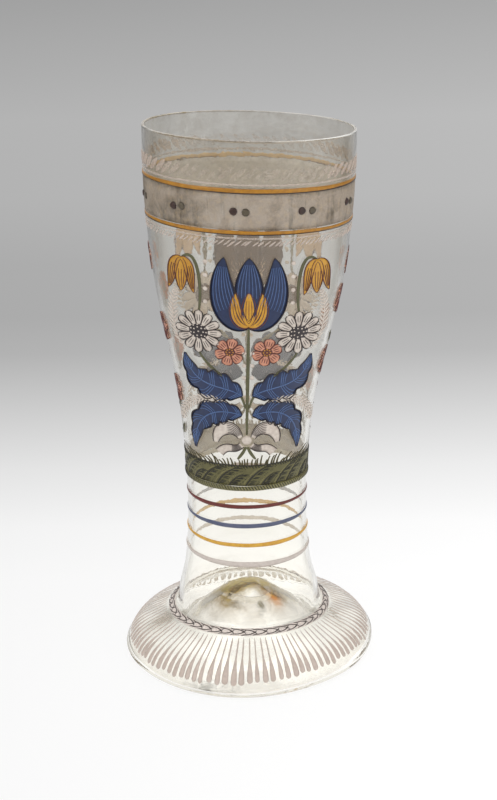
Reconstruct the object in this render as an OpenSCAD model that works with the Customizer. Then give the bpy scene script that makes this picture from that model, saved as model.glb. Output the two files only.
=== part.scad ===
// Tall footed beaker of blown glass with fired enamel painting.
// The glass is one bubble whose bottom was pushed up into itself, so the foot is a hollow double wall.
// The enamels are thin layers of coloured glass that seat on the outside of the vessel.
// Millimetres, +Z up, origin on the axis at the table. The painted front faces -Y.

/* [Bowl] */
// Overall height, table to lip
height = 282; // [256:1:310]
// Outside diameter at the lip
rim_d = 107; // [95:0.5:125]
// Outside diameter of the waist, the narrowest place
waist_d = 63.2; // [56:0.2:72]
// Height of the waist above the table
waist_z = 82; // [76:1:90]
// How far the wall holds the rim's line before it draws in
rim_pull = 112; // [90:1:120]
// How far the wall holds the waist's line before it opens out
waist_pull = 98; // [75:1:105]
// Glass thickness at the lip
rim_wall = 1.6; // [1.2:0.1:2.4]
// Glass thickness at the waist
waist_wall = 2.2; // [1.6:0.1:3]

/* [Foot] */
// Outside diameter of the foot
foot_d = 135; // [120:0.5:150]
// Diameter where the curved wall meets the straight skirt of the foot
neck_d = 78; // [72:0.5:84]
// Slope of the skirt below level, degrees
skirt_angle = 39; // [34:0.5:42]
// Outside radius of the fold at the foot's edge
edge_r = 3.5; // [3:0.1:4.5]
// How far the wall holds the waist's line below the waist
flare_pull = 18; // [10:0.5:24]
// How far the wall follows the skirt's slope above the neck
neck_pull = 5.5; // [3:0.5:9]
// Glass thickness of the skirt and the resting ring
foot_wall = 2; // [1.4:0.1:2.6]
// Width of the flat ring that the glass stands on
rest_w = 2; // [1:0.1:4]

/* [Kick] */
// Height of the hollow pushed up under the foot
kick_h = 33; // [26:0.5:38]
// Glass thickness at the top of the kick
kick_wall = 3; // [2:0.1:4]
// How far the kick stays level inside the resting ring
kick_ease = 22; // [14:0.5:28]
// How far the kick stays level at its top
kick_crown = 14; // [10:0.5:26]
// Middle diameter of the ring scar left by the pontil rod
pontil_d = 24; // [18:0.5:30]
// Width of the scar
pontil_w = 3; // [2:0.1:4]
// How far the scar stands out
pontil_t = 1.2; // [0.6:0.1:2]

/* [Enamel layers] */
// Thickness of the painted enamel
enamel_t = 0.4; // [0.3:0.05:0.8]
// Thickness of the worn gilding
gilt_t = 0.15; // [0.1:0.05:0.3]
// Height of the pearls above the gilding
pearl_t = 0.8; // [0.4:0.1:1.2]
// Gap left between each painted layer and what it lies on
layer_seat = 0.06; // [0.03:0.01:0.08]

/* [Rim borders] */
// Lip to the top of the leaf border
lip_gap = 12.6; // [8:0.2:16]
// Height of the leaf border
leaf_h = 6.3; // [4:0.1:8]
// Number of leaf strokes round the rim
leaf_count = 60; // [40:1:72]
// Width of a leaf stroke
leaf_w = 4; // [1.2:0.1:4.4]
// Clear gap between two neighbouring borders
border_gap = 1.1; // [0.6:0.1:1.6]
// Height of the thin white lines
white_line_h = 1; // [0.6:0.1:1.4]
// Height of the yellow lines that bound the gilding
yellow_line_h = 2.4; // [1.6:0.1:3]
// Height of the gilt band
gilt_h = 17.6; // [14:0.2:21]
// Number of pearl pairs on the gilding
pearl_pairs = 10; // [6:1:14]
// Diameter of a pearl
pearl_d = 4.2; // [3:0.1:5]
// Distance between the two pearls of a pair
pearl_pitch = 5.6; // [5.2:0.1:8]
// Height of the comb strokes under the gilding
comb_h = 2.8; // [2:0.1:4]
// Number of comb strokes
comb_count = 120; // [80:1:140]
// Width of a comb stroke
comb_w = 1; // [0.6:0.1:1.3]
// Lean of the leaf and comb strokes, degrees
stroke_lean = 30; // [0:1:40]

/* [Painted field] */
// Height of the bottom of the meadow above the waist
meadow_rise = 17.6; // [14:0.2:24]
// Height of the dark rope below the meadow
rope_h = 2.8; // [2:0.1:4]
// Thickness of the rope
rope_t = 0.6; // [0.4:0.05:1]
// Height of the meadow at its hummocks
meadow_h = 14; // [10:0.5:18]
// Number of hummocks round the meadow
hummock_count = 9; // [6:1:12]
// Depth of the dips between the hummocks
hummock_dip = 3; // [1:0.5:5]
// Clear glass between the meadow and the flower stems
field_gap = 1; // [0.6:0.1:3]
// Width of the picture as a share of the waist's diameter
picture_ratio = 1.8; // [1.6:0.02:1.86]
// Field height that the flower sizes below are drawn for, a smaller field shrinks them
picture_h = 113.6; // [110:0.2:120]
// Width of a painted stem
stem_w = 1.4; // [0.8:0.1:2]
// Width of the tulip
tulip_w = 36; // [28:0.5:38]
// Height of the tulip
tulip_h = 35; // [28:0.5:37]
// Clear line between the tulip and the yellow cup at its base
cup_line = 0.6; // [0.3:0.1:1.2]
// Radius of a daisy
daisy_r = 11.4; // [9:0.2:11.6]
// Number of petals of a daisy
daisy_petals = 12; // [8:1:14]
// Depth of the notches between a daisy's petals, share of its radius
daisy_notch_ratio = 0.22; // [0.1:0.01:0.3]
// Radius of a daisy's dark eye
eye_r = 4.8; // [3.5:0.1:5.5]
// Radius of a rose
rose_r = 7.4; // [6:0.2:7.6]
// Number of petals of a rose
rose_petals = 6; // [5:1:8]
// Depth of the notches between a rose's petals, share of its radius
rose_notch_ratio = 0.16; // [0.1:0.01:0.3]
// Radius of a rose's dark heart
heart_r = 2.8; // [2:0.1:3.6]
// Length of a bell flower
bell_h = 17; // [12:0.5:19]
// Width of a bell flower at its mouth
bell_w = 13; // [10:0.5:15]
// Greatest width of an upper leaf
upper_leaf_w = 17; // [12:0.5:19]
// Greatest width of a lower leaf
lower_leaf_w = 14; // [10:0.5:16]
// Number of lobes along a leaf
lobe_count = 5; // [3:1:6]
// Depth of the notches between the lobes, share of the leaf's width
lobe_ratio = 0.28; // [0.1:0.01:0.4]
// Width of the ribbon
ribbon_w = 6; // [4:0.2:6.6]
// Diameter of the ribbon's knot
knot_d = 5; // [4:0.1:5.6]
// Diameter of a spray dot
dot_d = 2.2; // [1.4:0.1:3]

/* [Waist rings] */
// Middle of the red ring above the waist
red_rise = 8.6; // [6:0.2:12]
// Distance between two neighbouring waist rings
ring_step = 10.6; // [7:0.2:11]
// Height of the red, blue and yellow rings
ring_h = 2; // [1.4:0.1:3]
// Height of the white ring
white_ring_h = 3.3; // [2:0.1:4]

/* [Foot borders] */
// Neck to the near edge of the chain band, along the skirt
chain_gap = 1.2; // [0.6:0.1:3]
// Width of the chain band
chain_w = 6; // [4:0.1:7]
// Thickness of the pale band under the chain
chain_band_t = 0.2; // [0.15:0.05:0.4]
// Number of links round the chain
chain_count = 44; // [36:1:48]
// Width of a link across the band
link_w = 3.4; // [2.6:0.1:4]
// Width of the line that draws a link
link_line = 0.7; // [0.5:0.05:1]
// Chain band to the thin end of the foot strokes
stroke_gap = 0.8; // [0.4:0.1:2]
// Clear border between the strokes and the folded edge
clear_border = 2.4; // [1:0.1:4]
// Number of strokes round the foot
stroke_count = 100; // [70:1:110]
// Width of a foot stroke where it is thin
stroke_thin = 0.9; // [0.5:0.05:1.4]
// Width of a foot stroke at its club end
stroke_club = 2.6; // [1.6:0.1:3]

/* [Hidden] */
$fn = 180;

// Radii of the outside
rim_r = rim_d / 2;
waist_r = waist_d / 2;
neck_r = neck_d / 2;
foot_r = foot_d / 2;

// Straight skirt: it leaves the folded edge tangentially and rises to the neck
edge_x = foot_r - edge_r;
skirt_end = [edge_x + edge_r * sin(skirt_angle), edge_r + edge_r * cos(skirt_angle)];
neck_z = skirt_end[1] + (skirt_end[0] - neck_r) * tan(skirt_angle);
skirt_start = [neck_r, neck_z];
skirt_dir = [cos(skirt_angle), -sin(skirt_angle)];
skirt_up = [sin(skirt_angle), cos(skirt_angle)];
skirt_len = norm(skirt_end - skirt_start);
rest_x = edge_x - rest_w;

// Curve helpers: a cubic curve from four points, and the steps of a parameter from 0 to 1
function steps(n) = [for (i = [0 : n]) i / n];
function cubic(a, b, c, d, u) =
    (1 - u) ^ 3 * a + 3 * (1 - u) ^ 2 * u * b + 3 * (1 - u) * u ^ 2 * c + u ^ 3 * d;
function curve(a, b, c, d, n) = [for (u = steps(n)) cubic(a, b, c, d, u)];
function tail(list) = [for (i = [1 : len(list) - 1]) list[i]];
function flip(list) = [for (i = [len(list) - 1 : -1 : 0]) list[i]];
function mix(a, b, u) = a + (b - a) * u;
function smooth(a, b, u) = let (k = min(1, max(0, (u - a) / (b - a)))) k * k * (3 - 2 * k);

// Outside of the glass from the lip down to the table, then up the kick to the axis
bowl_steps = 28;
flare_steps = 12;
edge_steps = 9;
kick_steps = 18;
lip_z = height - rim_wall / 2;
bowl_curve = curve([rim_r, lip_z], [rim_r, lip_z - rim_pull],
                   [waist_r, waist_z + waist_pull], [waist_r, waist_z], bowl_steps);
flare_curve = curve([waist_r, waist_z], [waist_r, waist_z - flare_pull],
                    skirt_start - neck_pull * skirt_dir, skirt_start, flare_steps);
edge_arc = [for (u = steps(edge_steps))
    let (a = mix(90 - skirt_angle, -90, u)) [edge_x + edge_r * cos(a), edge_r + edge_r * sin(a)]];
kick_curve = curve([rest_x, 0], [rest_x - kick_ease, 0], [kick_crown, kick_h], [0, kick_h], kick_steps);
outside = concat(bowl_curve, tail(flare_curve), edge_arc, kick_curve);
glass = concat(
    [for (u = steps(bowl_steps)) mix(rim_wall, waist_wall, u)],
    tail([for (u = steps(flare_steps)) mix(waist_wall, foot_wall, u)]),
    [for (u = steps(edge_steps)) foot_wall],
    [for (u = steps(kick_steps)) mix(foot_wall, kick_wall, u)]);

// Inside of the glass: each outside point moved inwards by the glass thickness there
last = len(outside) - 1;
function inward(i) = i == 0 ? [-1, 0] : i == last ? [0, 1]
    : let (along = outside[i + 1] - outside[i - 1]) [along[1], -along[0]] / norm(along);
inside = [for (i = [0 : last]) outside[i] + glass[i] * inward(i)];
lip_arc = [for (a = [15 : 15 : 165])
    [rim_r - rim_wall / 2 + rim_wall / 2 * cos(a), lip_z + rim_wall / 2 * sin(a)]];

// Radius of the outside wall at a height, between the neck and the lip
wall_points = flip(concat(bowl_curve, tail(flare_curve)));
wall_table = [for (p = wall_points) [p[1], p[0]]];
function wall_r(z) = lookup(z, wall_table);
function levels(z0, z1) =
    concat([z0], [for (p = wall_points) if (p[1] > z0 + 0.01 && p[1] < z1 - 0.01) p[1]], [z1]);
function skirt_at(s, h) = skirt_start + s * skirt_dir + h * skirt_up;

// Heights of the borders, each worked out from its neighbour
leaf_top = height - lip_gap;
leaf_bottom = leaf_top - leaf_h;
rim_line_top = leaf_bottom - border_gap;
upper_yellow_top = rim_line_top - white_line_h - border_gap;
gilt_top = upper_yellow_top - yellow_line_h;
gilt_bottom = gilt_top - gilt_h;
lower_yellow_bottom = gilt_bottom - yellow_line_h;
collar_line_top = lower_yellow_bottom - border_gap;
comb_top = collar_line_top - white_line_h - border_gap / 2;
comb_bottom = comb_top - comb_h;
rope_bottom = waist_z + meadow_rise;
meadow_bottom = rope_bottom + rope_h;
meadow_top = meadow_bottom + meadow_h;
field_bottom = meadow_top + field_gap;
field_h = comb_bottom - field_gap - field_bottom;
red_mid = waist_z + red_rise;

// Places along the skirt, measured from the neck
chain_start = chain_gap;
chain_end = chain_start + chain_w;
stroke_start = chain_end + stroke_gap;
stroke_end = skirt_len - clear_border;

// Enamel colours
white = "#d8cfc4";
yellow = "#d2a24a";
red = "#6e3a30";
blue = "#33456b";
green = "#5b5a3a";
black = "#1c1416";
pink = "#d79a7e";
gilt = "#a39a86";

// Scale of the flowers: full size, or less on a field that is too low or too narrow for them
picture_w = picture_ratio * waist_d;
fit = min(1, field_h / picture_h, picture_w / picture_h);

// Shares that shape the brush strokes
tip_share = 0.4;
swell_from = 0.4;
swell_to = 0.9;
leaf_root = 0.06;
leaf_skew = 0.8;
loop_end = 0.4;
tail_share = 0.7;
dip_clear = 0.2;

// Layer of even thickness on the wall, from one height and offset to another
module wall_skin(z0, z1, t0, t1) {
    z = levels(z0, z1);
    rotate_extrude()
        polygon(concat([for (h = z) [wall_r(h) + t0, h]], [for (h = flip(z)) [wall_r(h) + t1, h]]));
}

// Painted line round the wall, low and rounded across
module wall_line(z0, z1, t) {
    crown = 6;
    rotate_extrude()
        polygon(concat(
            [for (h = levels(z0, z1)) [wall_r(h) + layer_seat, h]],
            [for (i = [1 : crown - 1])
                let (h = mix(z1, z0, i / crown)) [wall_r(h) + layer_seat + t * sin(180 * i / crown), h]]));
}

// Layer of even thickness on the skirt of the foot
module skirt_skin(s0, s1, h0, h1) {
    rotate_extrude()
        polygon([skirt_at(s0, h0), skirt_at(s1, h0), skirt_at(s1, h1), skirt_at(s0, h1)]);
}

// Flat drawing cut through the wall towards the viewer at an angle round the axis
module towards(angle, start) {
    rotate([0, 0, angle]) rotate([90, 0, 0]) translate([0, 0, start]) linear_extrude(foot_r - start)
        children();
}

// Brush outline along a path, with a half width at each point
function brush(path, half) = let (
    n = len(path) - 1,
    side = [for (i = [0 : n]) let (
        along = path[min(n, i + 1)] - path[max(0, i - 1)]) [-along[1], along[0]] / norm(along)])
    concat([for (i = [0 : n]) path[i] + half[i] * side[i]],
           flip([for (i = [0 : n]) path[i] - half[i] * side[i]]));

module brush_line(a, b, c, d, width, n = 12) {
    polygon(brush(curve(a, b, c, d, n), [for (u = steps(n)) width / 2]));
}

// Leaf with scalloped sides along a curve
module scalloped_leaf(a, b, c, d, width) {
    n = 6 * lobe_count;
    polygon(brush(curve(a, b, c, d, n), [for (u = steps(n))
        width / 2 * (leaf_root + sin(180 * u ^ leaf_skew))
            * (1 - lobe_ratio + lobe_ratio * abs(sin(180 * lobe_count * u)))]));
}

// Flower head seen from above, with rounded petals
module petal_disc(r, petals, notch) {
    per_petal = 5;
    step = 360 / petals / per_petal;
    polygon([for (a = [step / 2 : step : 360])
        r * (1 - notch + notch * abs(cos(petals * a / 2))) * [cos(a), sin(a)]]);
}

// Cup-shaped flower with three points, standing on its base point
module cup_flower(w, h) {
    rim = 0.74;
    side = 14;
    polygon(concat(
        [for (u = steps(side)) let (a = 180 + 180 * u) [w / 2 * cos(a), rim * h * (1 + sin(a))]],
        [for (u = tail(steps(2 * side))) let (x = 1 - 2 * u)
            [w / 2 * x, h * (rim + (1 - rim) * abs(cos(270 * x)))]]));
}

// The glass itself
module vessel() {
    color("#dfe3da", 0.35) rotate_extrude() polygon(concat(outside, flip(inside), flip(lip_arc)));
}

// Ring of broken glass under the kick, where the rod held the foot
module pontil_scar() {
    crown = 6;
    r0 = pontil_d / 2 - pontil_w / 2;
    r1 = pontil_d / 2 + pontil_w / 2;
    under = flip([for (p = kick_curve) [p[0], p[1] - layer_seat]]);
    seat = concat([[r0, lookup(r0, under)]], [for (p = under) if (p[0] > r0 && p[0] < r1) p],
                  [[r1, lookup(r1, under)]]);
    hang = [for (i = [1 : crown - 1]) let (r = mix(r1, r0, i / crown))
        [r, lookup(r, under) - pontil_t * sin(180 * i / crown)]];
    color("#c9cbb8", 0.5) rotate_extrude() polygon(concat(seat, hang));
}

// Slanted brush strokes that stand side by side round the wall
module stroke_border(z0, z1, count, width) {
    lean = (z1 - z0) * tan(stroke_lean) / 2;
    mid = (z0 + z1) / 2;
    parts = 2;
    for (i = [0 : count - 1]) intersection() {
        wall_skin(z0, z1, layer_seat, enamel_t);
        towards(360 * i / count, wall_r(z0) - width)
            polygon(brush(curve([-lean, z0], [-lean / 2, mid], [lean / 2, mid], [lean, z1], parts),
                          [for (u = steps(parts)) width / 2 * mix(tip_share, 1, sin(180 * u))]));
    }
}

module rim_leaf_border() {
    color(white) stroke_border(leaf_bottom, leaf_top, leaf_count, leaf_w);
}

module rim_white_line() {
    color(white) wall_line(rim_line_top - white_line_h, rim_line_top, enamel_t);
}

module upper_yellow_line() {
    color(yellow) wall_line(gilt_top, upper_yellow_top, enamel_t);
}

module gilt_band() {
    color(gilt) wall_skin(gilt_bottom, gilt_top, layer_seat, gilt_t);
}

module lower_yellow_line() {
    color(yellow) wall_line(lower_yellow_bottom, gilt_bottom, enamel_t);
}

module collar_white_line() {
    color(white) wall_line(collar_line_top - white_line_h, collar_line_top, enamel_t);
}

module collar_comb() {
    color(white) stroke_border(comb_bottom, comb_top, comb_count, comb_w);
}

// Round drops in the middle of the gilding, one to each pair
module pearls(shift) {
    mid = (gilt_top + gilt_bottom) / 2;
    for (i = [0 : pearl_pairs - 1]) intersection() {
        wall_skin(mid - pearl_d, mid + pearl_d, gilt_t + layer_seat, gilt_t + pearl_t);
        towards(360 * i / pearl_pairs, wall_r(mid) / 2) translate([shift, mid]) circle(d = pearl_d);
    }
}

module brown_pearls() {
    color(red) pearls(-pearl_pitch / 2);
}

module grey_pearls() {
    color(green) pearls(pearl_pitch / 2);
}

// Places in the painted field, in hundredths of its width and height from the middle of its lower edge
function at(x, y) = [picture_w * x / 100, field_bottom + field_h * y / 100];
front_and_back = [0, 180];
sides = [90, -90];

// Drawing laid on the wall at each of the angles
module painted(angles) {
    for (a = angles) intersection() {
        wall_skin(field_bottom, field_bottom + field_h, layer_seat, enamel_t);
        towards(a, waist_r / 3) children();
    }
}

module both() {
    children();
    mirror([1, 0]) children();
}

// Places of the flower heads: bouquets at the front and back, upright stalks at the sides
tulip_at = at(0, 65);
daisy_at = at(21.5, 60.5);
bell_at = at(29, 93);
rose_at = at(8, 52.3);
stalk_roses = [at(0, 86), at(-8, 70), at(8, 56), at(-7, 41), at(7, 27)];
knot_at = at(0, 9.3);

module upper_leaf() {
    scalloped_leaf(at(2.2, 31), at(11, 37.5), at(24, 31), at(27.5, 48.5), fit * upper_leaf_w);
}

module lower_leaf() {
    scalloped_leaf(at(2.2, 21.5), at(11, 25), at(23.5, 23), at(22.5, 2.5), fit * lower_leaf_w);
}

module daisy_head() {
    translate(daisy_at) petal_disc(fit * daisy_r, daisy_petals, daisy_notch_ratio);
}

module rose_head(place) {
    translate(place) petal_disc(fit * rose_r, rose_petals, rose_notch_ratio);
}

module bell_head() {
    translate(bell_at) mirror([0, 1]) cup_flower(fit * bell_w, fit * bell_h);
}

module bouquet_stems() {
    brush_line(at(0, 12), at(0, 30), at(0, 50), tulip_at, stem_w, 4);
    both() {
        brush_line(at(0.8, 25), at(4, 40), at(16, 40), daisy_at, stem_w);
        brush_line(daisy_at, at(19.5, 82), at(22, 101), bell_at, stem_w);
        brush_line(at(0.4, 6), at(1, 4), at(2.4, 2), at(4, 0), stem_w, 4);
    }
}

module stalk_stem() {
    brush_line(at(0, 0), at(4, 30), at(-4, 60), stalk_roses[0], stem_w, 16);
}

module stems() {
    color(green) {
        painted(front_and_back) difference() {
            bouquet_stems();
            translate(tulip_at) cup_flower(fit * tulip_w, fit * tulip_h);
            both() {
                daisy_head();
                rose_head(rose_at);
                bell_head();
                upper_leaf();
                lower_leaf();
            }
        }
        painted(sides) difference() {
            stalk_stem();
            for (place = stalk_roses) rose_head(place);
        }
    }
}

module blue_leaves() {
    color(blue) painted(front_and_back) both() {
        upper_leaf();
        lower_leaf();
    }
}

// The tulip's petals, open at the base where the yellow cup sits
module tulip_head() {
    translate(tulip_at) difference() {
        cup_flower(fit * tulip_w, fit * tulip_h);
        translate([0, -cup_line])
            cup_flower(fit * tulip_w / 2 + 2 * cup_line, fit * tulip_h / 2 + 2 * cup_line);
    }
}

module blue_tulip() {
    color(blue) painted([0]) tulip_head();
}

module dark_tulip() {
    color(black) painted([180]) tulip_head();
}

module tulip_cup() {
    color(yellow) painted(front_and_back) translate(tulip_at)
        cup_flower(fit * tulip_w / 2, fit * tulip_h / 2);
}

module white_daisies() {
    color(white) painted(front_and_back) both() difference() {
        daisy_head();
        translate(daisy_at) circle(r = fit * eye_r);
    }
}

module daisy_eyes() {
    color(black) painted(front_and_back) both() translate(daisy_at) circle(r = fit * eye_r);
}

module rose_ring(place) {
    difference() {
        rose_head(place);
        translate(place) circle(r = fit * heart_r);
    }
}

module pink_roses() {
    color(pink) {
        painted(front_and_back) both() rose_ring(rose_at);
        painted(sides) for (place = stalk_roses) rose_ring(place);
    }
}

module rose_hearts() {
    color(red) {
        painted(front_and_back) both() translate(rose_at) circle(r = fit * heart_r);
        painted(sides) for (place = stalk_roses) translate(place) circle(r = fit * heart_r);
    }
}

module yellow_bells() {
    color(yellow) painted(front_and_back) both() bell_head();
}

// Bow tied round the stems: a knot, two loops and two tails
module white_ribbon() {
    n = 12;
    loop = curve(at(2.8, 10.6), at(6.2, 18), at(13.3, 15.5), at(13.6, 7.5), n);
    color(white) painted(front_and_back) {
        translate(knot_at) circle(d = fit * knot_d);
        both() {
            polygon(brush(loop, [for (u = steps(n))
                fit * ribbon_w / 2 * loop_end * (1 + 2 * sin(180 * u))]));
            brush_line(at(2.2, 7), at(6, 3), at(8, 8), at(12, 2.6), fit * ribbon_w * tail_share, 8);
        }
    }
}

// Small drops that fill the clear glass between the flowers
module white_sprays() {
    color(white) painted(front_and_back) both() {
        for (i = [0 : 3]) translate(at(18.6, 75 + 6 * i)) circle(d = fit * dot_d);
        for (i = [0 : 2]) translate(at(1.8, 40 + 6 * i)) circle(d = fit * dot_d);
    }
}

// Green ground with hummocks: a band whose top edge dips between them
module meadow() {
    dip_w = 2 * PI * wall_r(meadow_top) / hummock_count;
    color(green) difference() {
        wall_skin(meadow_bottom, meadow_top, layer_seat, enamel_t);
        for (i = [0 : hummock_count - 1]) towards(360 * i / hummock_count, waist_r / 2)
            polygon(concat(
                [for (u = steps(6)) at_dip(u, dip_w)],
                [[dip_w / 2, meadow_top + hummock_dip], [-dip_w / 2, meadow_top + hummock_dip]]));
    }
}

// Lower edge of a dip, a wave that falls to its deepest place in the middle
function at_dip(u, w) =
    [w * (u - 0.5), meadow_top + dip_clear - (hummock_dip + dip_clear) * sin(180 * u) ^ 2];

module meadow_rope() {
    color(green) wall_line(rope_bottom, meadow_bottom, rope_t);
}

// One of the rings round the waist, counted down from the red one
module waist_ring(i, h) {
    mid = red_mid - i * ring_step;
    wall_line(mid - h / 2, mid + h / 2, enamel_t);
}

module red_ring() {
    color(red) waist_ring(0, ring_h);
}

module blue_ring() {
    color(blue) waist_ring(1, ring_h);
}

module yellow_ring() {
    color(yellow) waist_ring(2, ring_h);
}

module white_ring() {
    color(white) waist_ring(3, white_ring_h);
}

module chain_band() {
    color(pink, 0.6) skirt_skin(chain_start, chain_end, layer_seat, chain_band_t);
}

// Six-sided links drawn in line, side by side round the foot
module chain_links() {
    mid_r = skirt_at((chain_start + chain_end) / 2, 0)[0];
    long = 2 * PI * mid_r / chain_count - link_line / 2;
    wide = link_w * cos(skirt_angle);
    slant = norm([wide / 2, long / 4]) / (wide / 2);
    color(black) for (i = [0 : chain_count - 1]) intersection() {
        skirt_skin(chain_start, chain_end, chain_band_t + layer_seat, chain_band_t + enamel_t);
        rotate([0, 0, 360 * i / chain_count]) translate([mid_r, 0, 0]) linear_extrude(neck_z + neck_r)
            difference() {
                link_outline(long, wide);
                link_outline(long - 2 * link_line * slant, wide - 2 * link_line * cos(skirt_angle));
            }
    }
}

module link_outline(l, w) {
    polygon([[0, -l / 2], [w / 2, -l / 4], [w / 2, l / 4], [0, l / 2], [-w / 2, l / 4], [-w / 2, -l / 4]]);
}

// Strokes that run down the foot, thin above and swelling to a round club below
module foot_strokes() {
    r0 = skirt_at(stroke_start, 0)[0];
    r1 = skirt_at(stroke_end, 0)[0];
    tip = stroke_club / (r1 - r0) / 2;
    spots = [0, 0.45, 0.7, 1 - tip, 1];
    half = [for (u = spots)
        mix(stroke_thin, stroke_club, smooth(swell_from, swell_to, u)) / 2 * (u == 1 ? tip_share : 1)];
    outline = brush([for (u = spots) [mix(r0, r1, u), 0]], half);
    color(white) for (i = [0 : stroke_count - 1]) intersection() {
        skirt_skin(stroke_start, stroke_end, layer_seat, enamel_t);
        rotate([0, 0, 360 * i / stroke_count]) linear_extrude(neck_z + neck_r) polygon(outline);
    }
}

vessel();
pontil_scar();
rim_leaf_border();
rim_white_line();
upper_yellow_line();
gilt_band();
brown_pearls();
grey_pearls();
lower_yellow_line();
collar_white_line();
collar_comb();
stems();
blue_leaves();
blue_tulip();
tulip_cup();
dark_tulip();
white_daisies();
daisy_eyes();
pink_roses();
rose_hearts();
yellow_bells();
white_ribbon();
white_sprays();
meadow();
meadow_rope();
red_ring();
blue_ring();
yellow_ring();
white_ring();
chain_band();
chain_links();
foot_strokes();
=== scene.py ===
"""Looks of a tall enamelled beaker of blown glass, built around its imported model.

Sizes are in millimetres until a mesh is made, and in metres after that. The painted front faces -Y.
A drawing on the glass has x to the right and y up, as a viewer outside sees it.
"""
import logging
import math
from dataclasses import dataclass, field
from enum import Enum
from functools import cached_property

import bpy
import numpy as np
from mathutils import Matrix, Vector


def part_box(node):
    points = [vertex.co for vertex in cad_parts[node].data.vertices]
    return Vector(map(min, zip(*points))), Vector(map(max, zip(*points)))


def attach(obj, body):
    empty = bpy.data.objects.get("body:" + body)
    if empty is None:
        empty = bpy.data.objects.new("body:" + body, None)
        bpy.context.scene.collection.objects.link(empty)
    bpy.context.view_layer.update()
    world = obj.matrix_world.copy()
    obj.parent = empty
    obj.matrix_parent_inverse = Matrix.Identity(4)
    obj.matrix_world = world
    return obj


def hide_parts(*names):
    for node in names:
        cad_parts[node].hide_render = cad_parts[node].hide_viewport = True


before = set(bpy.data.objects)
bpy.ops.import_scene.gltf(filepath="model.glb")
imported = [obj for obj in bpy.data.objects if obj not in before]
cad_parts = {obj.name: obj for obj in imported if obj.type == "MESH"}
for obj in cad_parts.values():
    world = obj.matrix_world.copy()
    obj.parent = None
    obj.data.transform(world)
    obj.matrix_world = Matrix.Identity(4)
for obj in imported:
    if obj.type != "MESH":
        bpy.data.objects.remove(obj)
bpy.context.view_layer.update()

Array = np.ndarray
Tree = bpy.types.NodeTree
Source = bpy.types.Node | bpy.types.NodeSocket
LOG = logging.getLogger("beaker")
MM = 0.001
# Mark of a stroke's underside, beside the places from -1 to 1 across its top.
UNDERSIDE = 3.0
# Angles round the axis from the front.
FRONT_AND_BACK = (0.0, math.pi)
SIDES = (math.pi / 2, -math.pi / 2)
# Turns a drawing point over to the other side of the middle line.
FLIP = np.array([-1.0, 1.0])


class Slot(Enum):
    """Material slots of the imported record."""

    GLASS = "clear_glass"
    WHITE = "white_enamel"
    ROSE_WHITE = "rose_white_enamel"
    YELLOW = "yellow_enamel"
    RED = "red_enamel"
    BLUE = "blue_enamel"
    GREEN = "green_enamel"
    OLIVE = "olive_enamel"
    BLACK = "black_enamel"
    PINK = "pink_enamel"
    GILT = "worn_gilding"


def linear(hex_colour: str) -> tuple[float, float, float, float]:
    """Turn an sRGB hex colour into linear RGBA.

    Args:
        hex_colour: Six hex digits after a hash sign.

    Returns:
        Linear red, green and blue, and an alpha of 1.
    """
    parts = [int(hex_colour[i:i + 2], 16) / 255 for i in (1, 3, 5)]
    red, green, blue = (c / 12.92 if c <= 0.04045 else ((c + 0.055) / 1.055) ** 2.4 for c in parts)
    return red, green, blue, 1.0


def wire(tree: Tree, node: bpy.types.Node, inputs: dict) -> None:
    """Fill sockets of a node.

    Args:
        tree: Node tree of the node.
        node: Node that takes the inputs.
        inputs: Socket name or number to a value, an output socket, or a node whose first output feeds it.
    """
    for name, value in inputs.items():
        if isinstance(value, bpy.types.Node):
            value = next(output for output in value.outputs if output.enabled)
        if isinstance(value, bpy.types.NodeSocket):
            tree.links.new(value, node.inputs[name])
        else:
            node.inputs[name].default_value = value


def add_node(tree: Tree, kind: str, inputs: dict | None = None, **settings) -> bpy.types.Node:
    """Add a node, set its properties and fill its sockets.

    Args:
        tree: Node tree that takes the node.
        kind: Blender's name of the node type, after ShaderNode.
        inputs: Sockets to fill, as wire takes them.
        settings: Properties of the node.

    Returns:
        The new node.
    """
    node = tree.nodes.new("ShaderNode" + kind)
    for name, value in settings.items():
        setattr(node, name, value)
    wire(tree, node, inputs or {})
    return node


def new_material(name: str) -> tuple[bpy.types.Material, Tree, bpy.types.Node]:
    """Make a material, and give it with its node tree and its surface shader."""
    made = bpy.data.materials.new(name)
    made.use_nodes = True
    return made, made.node_tree, made.node_tree.nodes["Principled BSDF"]


def even_turns(count: int) -> Array:
    """Angles at even steps round the axis, from the front."""
    return 2 * math.pi * np.arange(count) / count


def stroke_cut(across: int, power: int = 4) -> tuple[Array, Array]:
    """Cut through a brush stroke of height 1: the top is the square root of 1 - 0.98 |q|^power.

    Args:
        across: Points across the top, where q runs from -1 to 1.
        power: How full the top is.

    Returns:
        The place q of each point, over the top and back under it, and the heights of the top.
    """
    q = np.linspace(-1, 1, across)
    return np.concatenate([q, q[::-1]]), np.sqrt(1 - 0.98 * q ** power)


def smooth(low: float, high: float, x: Array) -> Array:
    """Rise from 0 at low to 1 at high with level ends."""
    k = np.clip((np.asarray(x, float) - low) / (high - low), 0, 1)
    return k * k * (3 - 2 * k)


def bell_curve(middle: float, width: float, x: Array) -> Array:
    """Gaussian hump of height 1."""
    return np.exp(-((np.asarray(x, float) - middle) / width) ** 2)


def bezier(a: Array, b: Array, c: Array, d: Array, count: int) -> Array:
    """Sample a cubic curve given by its two ends and two handles.

    Args:
        a: Start point.
        b: Handle of the start.
        c: Handle of the end.
        d: End point.
        count: Number of points.

    Returns:
        Points as an array of count by 2.
    """
    u = np.linspace(0, 1, count)[:, None]
    return ((1 - u) ** 3 * np.asarray(a) + 3 * (1 - u) ** 2 * u * np.asarray(b)
            + 3 * (1 - u) * u ** 2 * np.asarray(c) + u ** 3 * np.asarray(d))


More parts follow.
